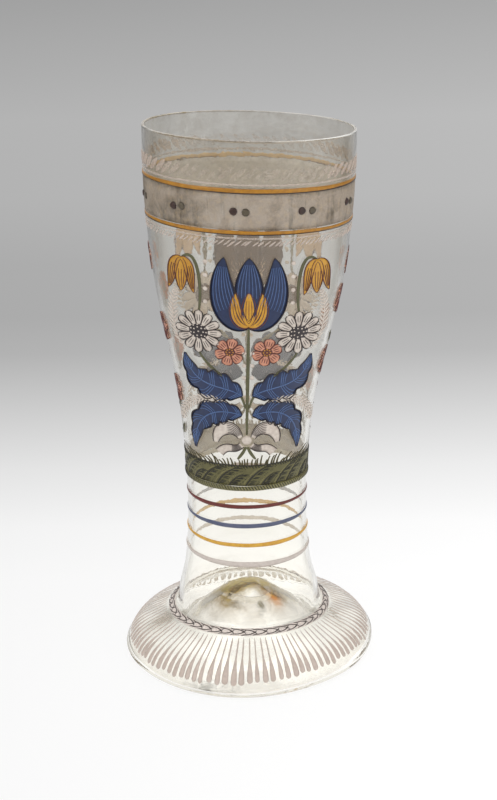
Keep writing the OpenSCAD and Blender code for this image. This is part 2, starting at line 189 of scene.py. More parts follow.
def arch(low: float, high: float, count: int, power: float = 1.0) -> Array:
    """Sine arch raised to a power, at count places from share low to share high of the arch."""
    return np.sin(math.pi * np.linspace(low, high, count)) ** power


def span(node: str) -> tuple[float, float]:
    """Lowest and highest level of a CAD node in millimetres."""
    low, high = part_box(node)
    return low.z / MM, high.z / MM


def normals_of(path: Array) -> Array:
    """Left-hand unit normals of paths: the tangent by central differences, turned a quarter turn.

    Args:
        path: Points, with x and y on the last axis and the path along the axis before it.

    Returns:
        Normals in the same shape.
    """
    along = np.gradient(path, axis=-2)
    along = along / np.maximum(np.linalg.norm(along, axis=-1, keepdims=True), 1e-9)
    return np.stack([-along[..., 1], along[..., 0]], axis=-1)


@dataclass(frozen=True)
class Profile:
    """Outline of the blown glass, the same curves as the solid's, in millimetres.

    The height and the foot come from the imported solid. The wall is two cubic curves with upright ends
    that meet at the waist, the foot is a straight skirt with a rounded fold, and the kick is a cubic curve.
    A pull is the length of a curve's handle, and steps are the points along a stretch.
    """

    height: float
    foot_r: float
    rim_r: float = 53.5
    waist_r: float = 31.6
    waist_z: float = 82.0
    rim_pull: float = 112.0
    waist_pull: float = 98.0
    rim_wall: float = 1.6
    lip_step: float = 0.3
    waist_wall: float = 2.2
    neck_r: float = 39.0
    skirt_angle: float = math.radians(39)
    edge_r: float = 3.5
    flare_pull: float = 18.0
    neck_pull: float = 5.5
    foot_wall: float = 2.0
    rest_w: float = 2.0
    kick_h: float = 33.0
    kick_wall: float = 3.0
    kick_ease: float = 22.0
    kick_crown: float = 14.0
    bowl_steps: int = 72
    flare_steps: int = 28
    skirt_steps: int = 22
    fold_steps: int = 16
    kick_steps: int = 40
    lip_steps: int = 11

    @cached_property
    def skirt_dir(self) -> Array:
        """Direction down the skirt, as radius and height."""
        return np.array([math.cos(self.skirt_angle), -math.sin(self.skirt_angle)])

    @cached_property
    def skirt_up(self) -> Array:
        """Direction out of the skirt."""
        return np.array([math.sin(self.skirt_angle), math.cos(self.skirt_angle)])

    @cached_property
    def edge_centre(self) -> Array:
        """Centre of the fold at the foot's edge."""
        return np.array([self.foot_r - self.edge_r, self.edge_r])

    @cached_property
    def skirt_end(self) -> Array:
        """Point where the skirt runs into the fold."""
        return self.edge_centre + self.edge_r * self.skirt_up

    @cached_property
    def neck(self) -> Array:
        """Point where the curved wall meets the skirt."""
        rise = (self.skirt_end[0] - self.neck_r) * math.tan(self.skirt_angle)
        return np.array([self.neck_r, self.skirt_end[1] + rise])

    @cached_property
    def wall(self) -> Array:
        """Outside of the wall from the lip down to the neck, as radius and height.

        A short step under the lip keeps the shading of its round edge off the wall.
        """
        lip = self.height - self.rim_wall / 2
        bowl = bezier((self.rim_r, lip - self.lip_step), (self.rim_r, lip - self.rim_pull),
                      (self.waist_r, self.waist_z + self.waist_pull), (self.waist_r, self.waist_z),
                      self.bowl_steps)
        flare = bezier((self.waist_r, self.waist_z), (self.waist_r, self.waist_z - self.flare_pull),
                       self.neck - self.neck_pull * self.skirt_dir, self.neck, self.flare_steps)
        return np.vstack([(self.rim_r, lip), bowl, flare[1:]])

    @cached_property
    def kick(self) -> Array:
        """Underside of the kick from the resting ring up to the axis."""
        ring = self.edge_centre[0] - self.rest_w
        return bezier((ring, 0), (ring - self.kick_ease, 0), (self.kick_crown, self.kick_h),
                      (0, self.kick_h), self.kick_steps)

    @cached_property
    def skirt(self) -> Array:
        """Skirt below the neck, down to the fold."""
        return self.neck + np.linspace(0, 1, self.skirt_steps)[1:-1, None] * (self.skirt_end - self.neck)

    @cached_property
    def fold(self) -> Array:
        """Rounded edge of the foot, from the skirt round to the table."""
        turn = np.linspace(math.pi / 2 - self.skirt_angle, -math.pi / 2, self.fold_steps)
        return self.edge_centre + self.edge_r * np.stack([np.cos(turn), np.sin(turn)], axis=1)

    def section(self) -> Array:
        """Whole cut through the glass, from the axis under the kick, round the outside, to the axis inside.

        The inside is the outside moved along its normals by the glass thickness, which changes smoothly.

        Returns:
            Points as radius and height, from the lower pole to the upper pole.
        """
        outside = np.vstack([self.wall, self.skirt, self.fold, self.kick])
        waist = self.bowl_steps + 1
        foot = len(self.wall) + len(self.skirt) + len(self.fold)
        marks = [0, waist, foot, len(outside) - 1]
        glass = np.interp(np.arange(len(outside)), marks,
                          [self.rim_wall, self.waist_wall, self.foot_wall, self.kick_wall])
        inward = normals_of(outside) * -1
        inward[0] = (-1, 0)
        inward[-1] = (0, 1)
        inside = outside + glass[:, None] * inward
        inside[-1, 0] = 0
        turn = np.linspace(0, math.pi, self.lip_steps)[1:-1, None]
        lip_centre = (outside[0] + inside[0]) / 2
        lip = lip_centre + self.rim_wall / 2 * np.hstack([np.cos(turn), np.sin(turn)])
        return np.vstack([outside[::-1], lip, inside])

    def radius(self, z: Array) -> Array:
        """Outside radius of the wall at heights between the neck and the lip."""
        return np.interp(z, self.wall[::-1, 1], self.wall[::-1, 0])

    def kick_height(self, r: Array) -> Array:
        """Height of the kick's underside at radii inside the resting ring."""
        return np.interp(r, self.kick[::-1, 0], self.kick[::-1, 1])


@dataclass(frozen=True)
class HandBlown:
    """Slight unevenness of a glass blown and finished by hand, shared by the glass and its painting.

    Apart from neck_z, a field that ends in _z or _at says where the one before it acts: the middle and the
    reach of a bell, its reach alone, or, for free_z and rim_tilt_z, the two ends of a smooth step.

    Attributes:
        wave: Depth of the slow waves round the wall, over the foot's hold on the table.
        lean: Angle by which the bowl leans to the right over its foot.
        rim_tilt: Sideways tilt of the lip.
        sway: Sideways shift of the bowl's lower half.
        neck_z: Height of the crease, where the skirt meets the wall.
        neck_sway: Sideways shift of the crease.
        neck_drop: How far the crease lies under its drawn height.
        side_drop: How much lower still it lies at its two sides.
        neck_flare: How far the wall spreads just over the crease.
        skirt_tilt: Sideways tilt of the skirt's lower end.
        neck_share: Share of that tilt that is left at the crease.
        skirt_dome: How far the middle of the skirt swells out of the straight.
        foot_push: How far the front left of the foot stands out of round.
        foot_flat: How far its front right stays short of round.
    """

    wave: float = 0.12
    free_z: tuple = (1.0, 14.0)
    lean: float = math.radians(0.8)
    rim_tilt: float = math.radians(-1.4)
    rim_tilt_z: tuple = (75.0, 275.0)
    sway: float = -1.2
    sway_z: tuple = (115.0, 60.0)
    neck_z: float = 30.0
    neck_tilt_z: float = 17.0
    neck_sway: float = 0.3
    neck_sway_z: float = 14.0
    neck_drop: float = 1.8
    side_drop: float = 1.6
    neck_drop_z: float = 10.0
    neck_flare: float = 1.4
    neck_flare_z: tuple = (36.0, 7.0)
    skirt_tilt: float = math.radians(1.8)
    neck_share: float = 0.1
    skirt_dome: float = 2.6
    foot_push: float = 2.4
    foot_push_at: tuple = (-0.2, 0.6)
    foot_flat: float = 1.0
    foot_flat_at: tuple = (0.6, 0.4)

    def bend(self, points: Array) -> Array:
        """Move points of the drawn form to where the maker's hand left them.

        Rings are widened by slow waves, by the skirt's dome, by the flare over the crease and by the push of
        the foot. The bowl sways and leans. Levels tilt with x, rise on the dome and drop at the crease.

        Args:
            points: Points in millimetres, xyz on the last axis.

        Returns:
            The moved points. The foot stays on the table.
        """
        x, y, z = points[..., 0], points[..., 1], points[..., 2]
        r = np.maximum(np.hypot(x, y), 1.0)
        angle = np.arctan2(x, -y)
        free = smooth(*self.free_z, z)
        # Share of the way down the skirt, and whether a point is on the upper of the foot's two walls.
        (neck_r, neck_h), (end_r, end_h) = PROFILE.neck, PROFILE.skirt_end
        along = np.clip((r - neck_r) / (end_r - neck_r), 0, 1)
        upper = smooth(0.4, 0.75, z / (neck_h + along * (end_h - neck_h)))
        dome = self.skirt_dome * np.sin(math.pi * along ** 2) * upper * (z < neck_h + 1)
        flare = self.neck_flare * bell_curve(*self.neck_flare_z, z) * smooth(22, 30, r)
        push = self.foot_push * bell_curve(*self.foot_push_at, angle)
        push = push - self.foot_flat * bell_curve(*self.foot_flat_at, angle)
        push = push * smooth(42, 64, r) * smooth(28, 10, z)
        waves = np.sin(3 * angle + z / 31) + np.sin(2 * angle - z / 47)
        swell = 1 + self.wave * waves * smooth(5, 25, r) * free / r
        swell = swell + (dome * PROFILE.skirt_up[0] + flare + push) / r
        over = z > self.neck_z
        crease = np.where(over, bell_curve(self.neck_z, self.neck_tilt_z, z), smooth(0, 5, z))
        tilt = self.rim_tilt * smooth(*self.rim_tilt_z, z) - self.lean * over * (1 - crease)
        tilt = tilt + self.skirt_tilt * crease * (self.neck_share + (1 - self.neck_share) * along)
        drop = np.where(z > neck_h, bell_curve(neck_h, self.neck_drop_z, z), (1 - along) ** 1.5 * upper)
        drop = drop * smooth(26, 34, r) * (self.neck_drop + self.side_drop * np.sin(angle) ** 2)
        rise = x * np.tan(tilt) + dome * PROFILE.skirt_up[1] - drop
        shift = self.sway * bell_curve(*self.sway_z, z)
        shift = shift + self.neck_sway * bell_curve(self.neck_z, self.neck_sway_z, z)
        shift = shift * free + math.tan(self.lean) * np.maximum(z - self.neck_z, 0)
        return np.stack([x * swell + shift, y * swell, z + rise], axis=-1)


PROFILE = Profile(height=span("vessel")[1], foot_r=(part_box("vessel")[1].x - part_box("vessel")[0].x) / 2 / MM)
HAND = HandBlown()


class Wall:
    """The upright outside of the glass as a drawing surface: y is the height above the table."""

    def place(self, x: Array, y: Array, turn: Array, lift: Array) -> Array:
        """Lay drawing points on the wall: the angle is the arc sine of x over the radius there.

        Args:
            x: Distance to the right of the drawing's middle line.
            y: Height.
            turn: Angle of the drawing's middle line round the axis, from the front.
            lift: Distance out of the glass.

        Returns:
            Points with xyz on the last axis.
        """
        r = PROFILE.radius(y)
        angle = turn + np.arcsin(np.clip(x / r, -1, 1))
        return np.stack([(r + lift) * np.sin(angle), -(r + lift) * np.cos(angle), y + 0 * angle], axis=-1)


class Skirt:
    """The sloping top of the foot as a drawing surface: y is minus the distance down from the neck."""

    def place(self, x: Array, y: Array, turn: Array, lift: Array) -> Array:
        """Lay drawing points on the skirt: the angle is x over the radius there.

        Args:
            x: Distance to the right of the drawing's middle line.
            y: Minus the distance down from the neck.
            turn: Angle of the drawing's middle line round the axis, from the front.
            lift: Distance out of the glass.

        Returns:
            Points with xyz on the last axis.
        """
        r = PROFILE.neck[0] - y * PROFILE.skirt_dir[0]
        z = PROFILE.neck[1] - y * PROFILE.skirt_dir[1] + lift * PROFILE.skirt_up[1]
        angle = turn + x / r
        out = r + lift * PROFILE.skirt_up[0]
        return np.stack([out * np.sin(angle), -out * np.cos(angle), z + 0 * angle], axis=-1)


@dataclass
class Paint:
    """One enamel piece: brush strokes gathered into closed low ridges on a drawing surface.

    Attributes:
        surface: Where the strokes lie.
        thick: Height of the enamel over the glass.
        sink: How far the ridge reaches into what is under it, so that no air is shut in.
        base: Height of what the strokes are painted on.
        seed: Seed of the chance that each stroke keeps for its tone.
        points: Arrays of points.
        notes: For each point its place across the stroke, its chance and its wear.
        faces: Faces as lists of point numbers.
        count: Number of points so far.
    """

    surface: Wall | Skirt = field(default_factory=Wall)
    thick: float = 0.25
    sink: float = 0.08
    base: float = 0.0
    seed: int = 1
    points: list = field(default_factory=list)
    notes: list = field(default_factory=list)
    faces: list = field(default_factory=list)
    count: int = 0

    def lay(self, path: Array, half: Array, turns: tuple = (0.0,), across: int = 3, wear: Array | float = 0.0,
            angles: Array | None = None) -> None:
        """Add strokes: the cut through a stroke, carried along each path, with a flat and sunk underside.

        The ridge gets lower where the stroke is narrow.

        Args:
            path: Points of the strokes in drawing millimetres, strokes by points by 2, or points by 2.
            half: Half width at each point.
            turns: Angles round the axis at which all strokes are repeated.
            across: Points across the top.
            wear: How far each stroke is worn away, from 0 to 1.
            angles: One angle round the axis for each stroke, instead of turns.
        """
        path = np.asarray(path, float)
        path = path[None] if path.ndim == 2 else path
        if angles is None:
            half = np.tile(np.broadcast_to(half, path.shape[:2]), (len(turns), 1))
            wear = np.tile(np.broadcast_to(wear, len(path)), len(turns))
            angles = np.repeat(turns, len(path))
            path = np.tile(path, (len(turns), 1, 1))
        path = np.broadcast_to(path, (len(angles), *path.shape[1:]))
        half = np.broadcast_to(half, path.shape[:2])
        loop, ridge = stroke_cut(across)
        spots = path[:, :, None] + half[..., None, None] * loop[:, None] * normals_of(path)[:, :, None]
        top = self.thick * ridge * np.clip(half / self.thick, 0.3, 1)[..., None]
        lift = self.base + np.concatenate([top, 0 * top - self.sink], axis=-1)
        xyz = self.surface.place(spots[..., 0], spots[..., 1], angles[:, None, None], lift)
        self.skin(xyz, loop, wear)

    def ring(self, level: Array, half: Array, across: int = 5, wear: float = 0.0) -> None:
        """Add a line that runs all the way round, with its level and half width given at even angles.

        Args:
            level: Drawing y of the line's middle at each angle.
            half: Half width at each angle.
            across: Points across the top.
            wear: How far the line is worn away, from 0 to 1.
        """
        loop, ridge = stroke_cut(across)
        y = level[:, None] + half[:, None] * loop
        top = self.thick * ridge
        lift = self.base + np.concatenate([top, 0 * top - self.sink]) + 0 * y
        xyz = self.surface.place(0 * y, y, even_turns(len(level))[:, None], lift)
        self.skin(xyz[None], loop, wear, closed=True)

    def skin(self, xyz: Array, loop: Array, wear: Array | float, closed: bool = False) -> None:
        """Cover loops of points with quads, and close the ends of open strokes.

        Args:
            xyz: Points, strokes by steps by loop by 3.
            loop: Place across the stroke of each point of a loop.
            wear: How far each stroke is worn away.
            closed: True for a ring, whose last loop joins its first.
        """
        strokes, steps, around = xyz.shape[:3]
        chance = np.random.default_rng(self.seed + self.count).random(strokes)
        index = self.count + np.arange(strokes * steps * around).reshape(strokes, steps, around)
        near, far = (index, np.roll(index, -1, axis=1)) if closed else (index[:, :-1], index[:, 1:])
        quads = np.stack([near, far, np.roll(far, -1, axis=2), np.roll(near, -1, axis=2)], axis=-1)
        self.faces += quads.reshape(-1, 4).tolist()
        if not closed:
            self.faces += index[:, 0].tolist() + index[:, -1, ::-1].tolist()
        note = np.empty((strokes, steps, around, 3))
        note[..., 0] = np.where(np.arange(around) < around // 2, loop, UNDERSIDE)
        note[..., 1] = chance[:, None, None]
        note[..., 2] = np.broadcast_to(wear, strokes)[:, None, None]
        self.points.append(xyz.reshape(-1, 3))
        self.notes.append(note.reshape(-1, 3))
        self.count += xyz[..., 0].size

    def piece(self, name: str, finish: "Enamel | Gilding", slot: Slot, *nodes: str) -> None:
        """Make the object, dress it and let it stand for its CAD nodes.

        Args:
            name: Name of the piece.
            finish: Finish of the enamel.
            slot: Material slot of the record.
            nodes: CAD nodes that the piece replaces.
        """
        made = new_piece(name, np.vstack(self.points), self.faces, finish.material(), slot, *nodes)
        attribute = made.data.attributes.new("stroke", "FLOAT_VECTOR", "POINT")
        attribute.data.foreach_set("vector", np.vstack(self.notes).astype(np.float32).ravel())


def new_piece(name: str, points: Array, faces: list, material: bpy.types.Material, slot: Slot,
              *nodes: str) -> bpy.types.Object:
    """Make a mesh object of the beaker from points in millimetres, bent as the hand-blown glass is.

    Args:
        name: Name of the piece.
        points: Points in millimetres.
        faces: Faces as lists of point numbers.
        material: Material of the whole piece.
        slot: Not used.
        nodes: CAD nodes that the piece replaces.

    Returns:
        The new object, riding on the only body.
    """
    mesh = bpy.data.meshes.new(name)
    mesh.from_pydata(HAND.bend(points) * MM, [], faces)
    mesh.polygons.foreach_set("use_smooth", np.ones(len(mesh.polygons), bool))
    mesh.materials.append(material)
    made = bpy.data.objects.new(name, mesh)
    bpy.context.scene.collection.objects.link(made)
    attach(made, "root")
    if nodes:
        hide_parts(*nodes)
    LOG.info("%s: %d points, %d faces", name, len(mesh.vertices), len(mesh.polygons))
    return made


@dataclass(frozen=True)
class Enamel:
    """Fired glass enamel: powdered coloured glass, brushed on and melted in the kiln.

    The eye gets a satin, slightly uneven layer that is paler or darker where it lies thin.

    Attributes:
        name: Name of the finish.
        colour: Colour where it lies even.
        thin: Colour where it lies thin and at its edges.
        roughness: Mean roughness of the fired surface.
        mottle: Size of the cloudy patches in millimetres.
        grain: Size of the grains in millimetres, coarser than real ones so that they show.
        cover: How much of the ground it hides, from 0 to 1.
        worn: How strongly the wear of a stroke bares the glass.
        back: Paler colour of the underside seen from inside through the glass, partly the enamel's own back and
            partly painted light for its shaded underside.
        veil: How much of the colour that paler underside hides, from 0 to 1.
        ior: Refractive index.
    """

    name: str
    colour: str
    thin: str
    roughness: float = 0.38
    mottle: float = 2.2
    grain: float = 0.45
    cover: float = 1.0
    worn: float = 0.0
    back: str = "#cfc3b3"
    veil: float = 0.62
    ior: float = 1.52

    def material(self) -> bpy.types.Material:
        """Build the enamel once and give it out again after that.

        Returns:
            The material.
        """
        known = bpy.data.materials.get(self.name)
        if known:
            return known
        made, tree, shader = new_material(self.name)
        place = add_node(tree, "TexCoord").outputs["Object"]
        stroke = add_node(tree, "Attribute", attribute_name="stroke").outputs["Vector"]
        parts = add_node(tree, "SeparateXYZ", {0: stroke})
        cloud = add_node(tree, "TexNoise", {
            "Vector": place, "Scale": 1 / (self.mottle * MM), "Detail": 4.0, "Roughness": 0.6})
        grain = add_node(tree, "TexNoise", {
            "Vector": place, "Scale": 1 / (self.grain * MM), "Detail": 2.0, "Roughness": 0.6})
        # The layer is thin at the edges of a stroke, in patches, and on some strokes more than on others.
        rim = add_node(tree, "Math", {0: parts.outputs["X"]}, operation="ABSOLUTE")
        edge = add_node(tree, "MapRange", {
            "Value": rim, "From Min": 0.55, "From Max": 1.0, "To Min": 0.0, "To Max": 0.45})
        patch = add_node(tree, "MapRange", {
            "Value": cloud, "From Min": 0.38, "From Max": 0.68, "To Min": 0.0, "To Max": 0.6})
        chance = add_node(tree, "Math", {0: parts.outputs["Y"], 1: 0.25}, operation="MULTIPLY")
        share = add_node(tree, "Math", {0: edge, 1: patch}, operation="ADD")
        blend = add_node(tree, "Math", {0: share, 1: chance}, operation="ADD", use_clamp=True)
        colour = add_node(tree, "Mix", {
            "Factor": blend, "A": linear(self.colour), "B": linear(self.thin)}, data_type="RGBA")
        rough = add_node(tree, "MapRange", {
            "Value": grain, "To Min": self.roughness - 0.1, "To Max": self.roughness + 0.14})
        bump = add_node(tree, "Bump", {"Height": grain, "Strength": 0.35, "Distance": 0.05 * MM})
        # The underside is paler: partly the enamel's own back, partly painted light for its shaded underside.
        seen = own_back_and_painted_light(tree, parts.outputs["X"], colour, self.back, self.veil)
        wire(tree, shader, {"Base Color": seen, "Roughness": rough, "Normal": bump, "IOR": self.ior})
        if self.worn or self.cover < 1:
            wire(tree, shader, {"Alpha": self.bare(tree, parts.outputs["Z"], cloud, grain)})
        return made

    def bare(self, tree: Tree, wear: Source, cloud: Source, grain: Source) -> bpy.types.Node:
        """Let the glass show through where the enamel is thin or rubbed away.

        Args:
            tree: Node tree of the material.
            wear: Wear of the stroke.
            cloud: Large patches.
            grain: Small specks.

        Returns:
            How much the enamel hides.
        """
        rub = add_node(tree, "Math", {0: wear, 1: self.worn}, operation="MULTIPLY")
        patches = add_node(tree, "Math", {0: cloud, 1: grain}, operation="ADD")
        speck = add_node(tree, "MapRange", {
            "Value": patches, "From Min": 0.75, "From Max": 1.25, "To Min": -0.25, "To Max": 0.25})
        left = add_node(tree, "Math", {0: speck, 1: self.cover}, operation="ADD")
        return add_node(tree, "Math", {0: left, 1: rub}, operation="SUBTRACT", use_clamp=True)


def own_back_and_painted_light(tree: Tree, across: Source, colour: Source, back: str, veil: float) -> bpy.types.Node:
    """Make the underside of a painted surface paler: partly the enamel's own back seen through the glass,
    partly painted light for the light its shaded underside misses.

    Args:
        tree: Node tree of the material.
        across: Place across the stroke, which marks the underside.
        colour: Colour of the top.
        back: Paler colour of the underside.
        veil: How much of the colour it hides, from 0 to 1.

    Returns:
        The colour all over.
    """
    under = add_node(tree, "MapRange", {
        "Value": across, "From Min": 1.5, "From Max": UNDERSIDE, "To Max": veil})
    return add_node(tree, "Mix", {"Factor": under, "A": colour, "B": linear(back)}, data_type="RGBA")


@dataclass(frozen=True)
class Gilding:
    """Gold leaf, fired on and rubbed down by use to a dull film.

    The eye gets a warm grey, cloudy veil with upright scratches and dirt, and a few glints of gold.

    Attributes:
        back: Its paler colour from inside through the glass, which hides the outer one by the share veil:
            partly the film's own back and partly painted light for its shaded underside.
        cloud: Size of the clouds in millimetres. Stain, scratch and mottle are sizes too.
        tall: Width of a scratch as a share of its length.
        darker_left_x: Place at the left, in millimetres, where the film is darkest; from there it lightens to
            the middle.
    """

    name: str = "worn_gold_film"
    film: str = "#b1a292"
    dirt: str = "#584c3a"
    gold: str = "#b59d74"
    back: str = "#d9d2c7"
    veil: float = 0.8
    cloud: float = 24.0
    stain: float = 7.0
    scratch: float = 5.0
    mottle: float = 2.4
    tall: float = 0.08
    darker_left_x: float = -50.0

    def material(self) -> bpy.types.Material:
        """Build the film.

        Returns:
            The material.
        """
        made, tree, shader = new_material(self.name)
        place = add_node(tree, "TexCoord").outputs["Object"]
        stroke = add_node(tree, "Attribute", attribute_name="stroke").outputs["Vector"]
        across = add_node(tree, "SeparateXYZ", {0: stroke}).outputs["X"]
        upright = add_node(tree, "Mapping", {"Vector": place, "Scale": (1.0, 1.0, self.tall)})
        cloud = add_node(tree, "TexNoise", {
            "Vector": place, "Scale": 1 / (self.cloud * MM), "Detail": 3.0, "Roughness": 0.6})
        stain = add_node(tree, "TexNoise", {
            "Vector": place, "Scale": 1 / (self.stain * MM), "Detail": 6.0, "Roughness": 0.72,
            "Distortion": 0.5})
        scratch = add_node(tree, "TexNoise", {
            "Vector": upright, "Scale": 1 / (self.scratch * MM), "Detail": 5.0, "Roughness": 0.7})
        mottle = add_node(tree, "TexNoise", {
            "Vector": place, "Scale": 1 / (self.mottle * MM), "Detail": 5.0, "Roughness": 0.7})
        # Dirt gathers in stains, in scratches and along both edges of the band, and the film darkens from the
        # middle towards the left.
        brink = add_node(tree, "Math", {0: across}, operation="ABSOLUTE")
        caught = add_node(tree, "MapRange", {
            "Value": brink, "From Min": 0.7, "From Max": 1.0, "To Max": 0.14})
        cracks = add_node(tree, "MapRange", {
            "Value": scratch, "From Min": 0.54, "From Max": 0.66, "To Max": 0.24})
        apart = add_node(tree, "SeparateXYZ", {0: place})
        darker_left = add_node(tree, "MapRange", {
            "Value": apart.outputs["X"], "From Min": self.darker_left_x * MM, "From Max": 0.0,
            "To Min": 0.14, "To Max": 0.0})
        soiled = stain
        for more in (cloud, cracks, caught, darker_left):
            soiled = add_node(tree, "Math", {0: soiled, 1: more}, operation="ADD")
        dirt = add_node(tree, "MapRange", {
            "Value": soiled, "From Min": 0.96, "From Max": 1.4, "To Max": 0.9})
        glint = add_node(tree, "MapRange", {
            "Value": mottle, "From Min": 0.5, "From Max": 0.7, "To Max": 0.4})
        base = add_node(tree, "Mix", {
            "Factor": dirt, "A": linear(self.film), "B": linear(self.dirt)}, data_type="RGBA")
        tint = add_node(tree, "Mix", {"Factor": glint, "A": base, "B": linear(self.gold)}, data_type="RGBA")
        # The film is see-through where it is rubbed thin.
        thick = add_node(tree, "Math", {0: cloud, 1: mottle}, operation="ADD")
        alpha = add_node(tree, "MapRange", {
            "Value": thick, "From Min": 0.7, "From Max": 1.2, "To Min": 0.5, "To Max": 0.88})
        # The underside is paler: partly the film's own back, partly painted light for its shaded underside.
        seen = own_back_and_painted_light(tree, across, tint, self.back, self.veil)
        wire(tree, shader, {"Base Color": seen, "Alpha": alpha, "Roughness": 0.5, "Metallic": 0.15})
        return made


@dataclass(frozen=True)
class BlownGlass:
    """Clear potash glass, free-blown and smoothed by the fire.

    The eye gets a clean gloss with slight waves and a faint warm tint. Old contents have left a khaki film and
    dark grains, and there is an orange spot on the kick; the film also tints the lip as painted shade. Sizes
    are in millimetres.

    Attributes:
        clear: Tint of light that passes straight through.
        cloud: Size of the flecks in the residues.
        ripple: Size of the waves.
        bounces: Number of bounces after which light runs straight out, so that folds don't turn black.
    """

    name: str = "blown_potash_glass"
    colour: str = "#fffefa"
    clear: str = "#fdfcf9"
    residue: str = "#82661c"
    orange_spot: str = "#c67a12"
    soot: str = "#3f3822"
    cloud: float = 7.0
    ripple: float = 9.0
    ripple_h: float = 0.4
    ior: float = 1.5
    bounces: int = 3

    def material(self) -> bpy.types.Material:
        """Build the glass once, with residues where the attribute of the mesh says so.

        Returns:
            The material.
        """
        known = bpy.data.materials.get(self.name)
        if known:
            return known
        made, tree, shader = new_material(self.name)
        place = add_node(tree, "TexCoord").outputs["Object"]
        stain = add_node(tree, "Attribute", attribute_name="stain").outputs["Vector"]
        parts = add_node(tree, "SeparateXYZ", {0: stain})
        cloud = add_node(tree, "TexNoise", {
            "Vector": place, "Scale": 1 / (self.cloud * MM), "Detail": 6.0, "Roughness": 0.7,
            "Distortion": 0.6})
        # Each residue is broken into flecks by the same clouds, the grains most of all.
        tint = linear(self.colour)
        for axis, colour, low, high, least in (("X", self.residue, 0.35, 0.65, 0.4),
                                               ("Y", self.orange_spot, 0.35, 0.65, 0.45),
                                               ("Z", self.soot, 0.46, 0.58, 0.2)):
            fleck = add_node(tree, "MapRange", {
                "Value": cloud, "From Min": low, "From Max": high,
                "To Min": least, "To Max": 1.0})
            amount = add_node(tree, "Math", {0: parts.outputs[axis], 1: fleck},
                              operation="MULTIPLY", use_clamp=True)
            tint = add_node(tree, "Mix", {"Factor": amount, "A": tint, "B": linear(colour)}, data_type="RGBA")
        waves = add_node(tree, "TexNoise", {
            "Vector": place, "Scale": 1 / (self.ripple * MM), "Detail": 3.0, "Roughness": 0.5})
        bump = add_node(tree, "Bump", {"Height": waves, "Strength": 0.25, "Distance": self.ripple_h * MM})
        wire(tree, shader, {"Base Color": tint, "Normal": bump, "Roughness": 0.0, "IOR": self.ior,
                            "Transmission Weight": 1.0})
        # Shadows, light for what is painted behind, and light deep in the folds pass straight through.
        path = add_node(tree, "LightPath")
        soft = add_node(tree, "Math", {
            0: path.outputs["Is Shadow Ray"], 1: path.outputs["Is Diffuse Ray"]}, operation="MAXIMUM")
        deep = add_node(tree, "Math", {
            0: path.outputs["Ray Depth"], 1: self.bounces}, operation="GREATER_THAN")
        straight = add_node(tree, "Math", {0: soft, 1: deep}, operation="MAXIMUM")
        clear = add_node(tree, "BsdfTransparent", {"Color": linear(self.clear)})
        mix = add_node(tree, "MixShader", {0: straight, 1: shader, 2: clear})
        wire(tree, tree.nodes["Material Output"], {"Surface": mix})
        return made


GLASS = BlownGlass()

# Each back colour below is the paler underside seen through the glass: partly the enamel's own back, partly
# painted light for the shaded underside.
# Whites are thick and chalky on the flowers, and a thin veil where hands rubbed them or on the foot.
WHITE = Enamel("fired_white_enamel", "#d9cfc4", "#b8a99d", mottle=1.6)
GREY_WHITE = Enamel("fired_grey_white_enamel", "#cbbbb0", "#b7a69b", mottle=1.8, back="#f0e9e1", veil=0.8)
WORN_WHITE = Enamel("rubbed_white_enamel", "#d3c6bc", "#c1b1a6", cover=0.8, worn=1.0)
RIM_WHITE = Enamel("rubbed_rose_white_enamel", "#cdbcb0", "#c0ada1", cover=0.6, worn=1.0)
RING_WHITE = Enamel("fired_pale_grey_enamel", "#d3c9c1", "#c1b5ac", mottle=1.8, back="#e9e2da")
WASH = Enamel("thin_rose_white_wash", "#efe4dc", "#e4d7ce", cover=0.8)

# Yellows melt smooth and are the glossiest of the bright colours, browner at their edges.
YELLOW = Enamel("fired_ochre_enamel", "#b98011", "#8c5a12", roughness=0.32, back="#d6bd93", veil=0.75)
GOLDEN = Enamel("fired_yellow_enamel", "#cf9a26", "#ad751f", roughness=0.3)
RING_YELLOW = Enamel("fired_golden_enamel", "#dcac3e", "#c28b2c", roughness=0.32, back="#e6cb98")

# Iron reds and browns are dense and dark, with a soft gloss.
RED = Enamel("fired_brick_enamel", "#642c28", "#4a1e1c", roughness=0.3)
RING_RED = Enamel("fired_red_brown_enamel", "#6d231a", "#561b15", roughness=0.3, back="#dcd2ca")
BROWN = Enamel("fired_dark_brown_enamel", "#3d2014", "#23130c", roughness=0.34)
PINK = Enamel("fired_pink_enamel", "#d2957a", "#bb7d64", roughness=0.38, back="#c79f84", veil=0.5)

# Blues are deep where they lie thick and turn grey in a thin line.
BLUE = Enamel("fired_dark_blue_enamel", "#1a2d57", "#12203f", roughness=0.34, back="#a9a8a8", veil=0.45)
PALE_BLUE = Enamel("fired_pale_blue_enamel", "#5671a0", "#3f5a88", roughness=0.35)
RING_BLUE = Enamel("fired_grey_blue_enamel", "#464d69", "#626880", roughness=0.3, back="#dcd9d6")

# Greens are the dullest, mottled in large patches.
GREEN = Enamel("fired_moss_enamel", "#605f3e", "#4a492d", roughness=0.4, mottle=3.0, veil=0.45)
MEADOW = Enamel("fired_olive_green_enamel", "#646036", "#4c4724", roughness=0.42, mottle=3.0)
ROPE = Enamel("fired_grey_olive_enamel", "#8b8558", "#757046", roughness=0.42)
HUMMOCK = Enamel("fired_light_olive_enamel", "#757044", "#625c36", roughness=0.42)
GRASS = Enamel("fired_yellow_green_enamel", "#564c26", "#3e381a", roughness=0.4)
DARK_GREEN = Enamel("fired_dark_moss_enamel", "#2a2818", "#1d1b0d", roughness=0.4)
OLIVE = Enamel("fired_olive_enamel", "#5d523f", "#352d1f", roughness=0.28)

# Blacks are fine brush lines, paler where they run thin.
BLACK = Enamel("fired_black_enamel", "#1d1417", "#2c2022", roughness=0.3, back="#a89684", veil=0.5)
INK = Enamel("fired_brown_black_enamel", "#281a15", "#3a2820", roughness=0.34, back="#e4dcd3", veil=0.85)


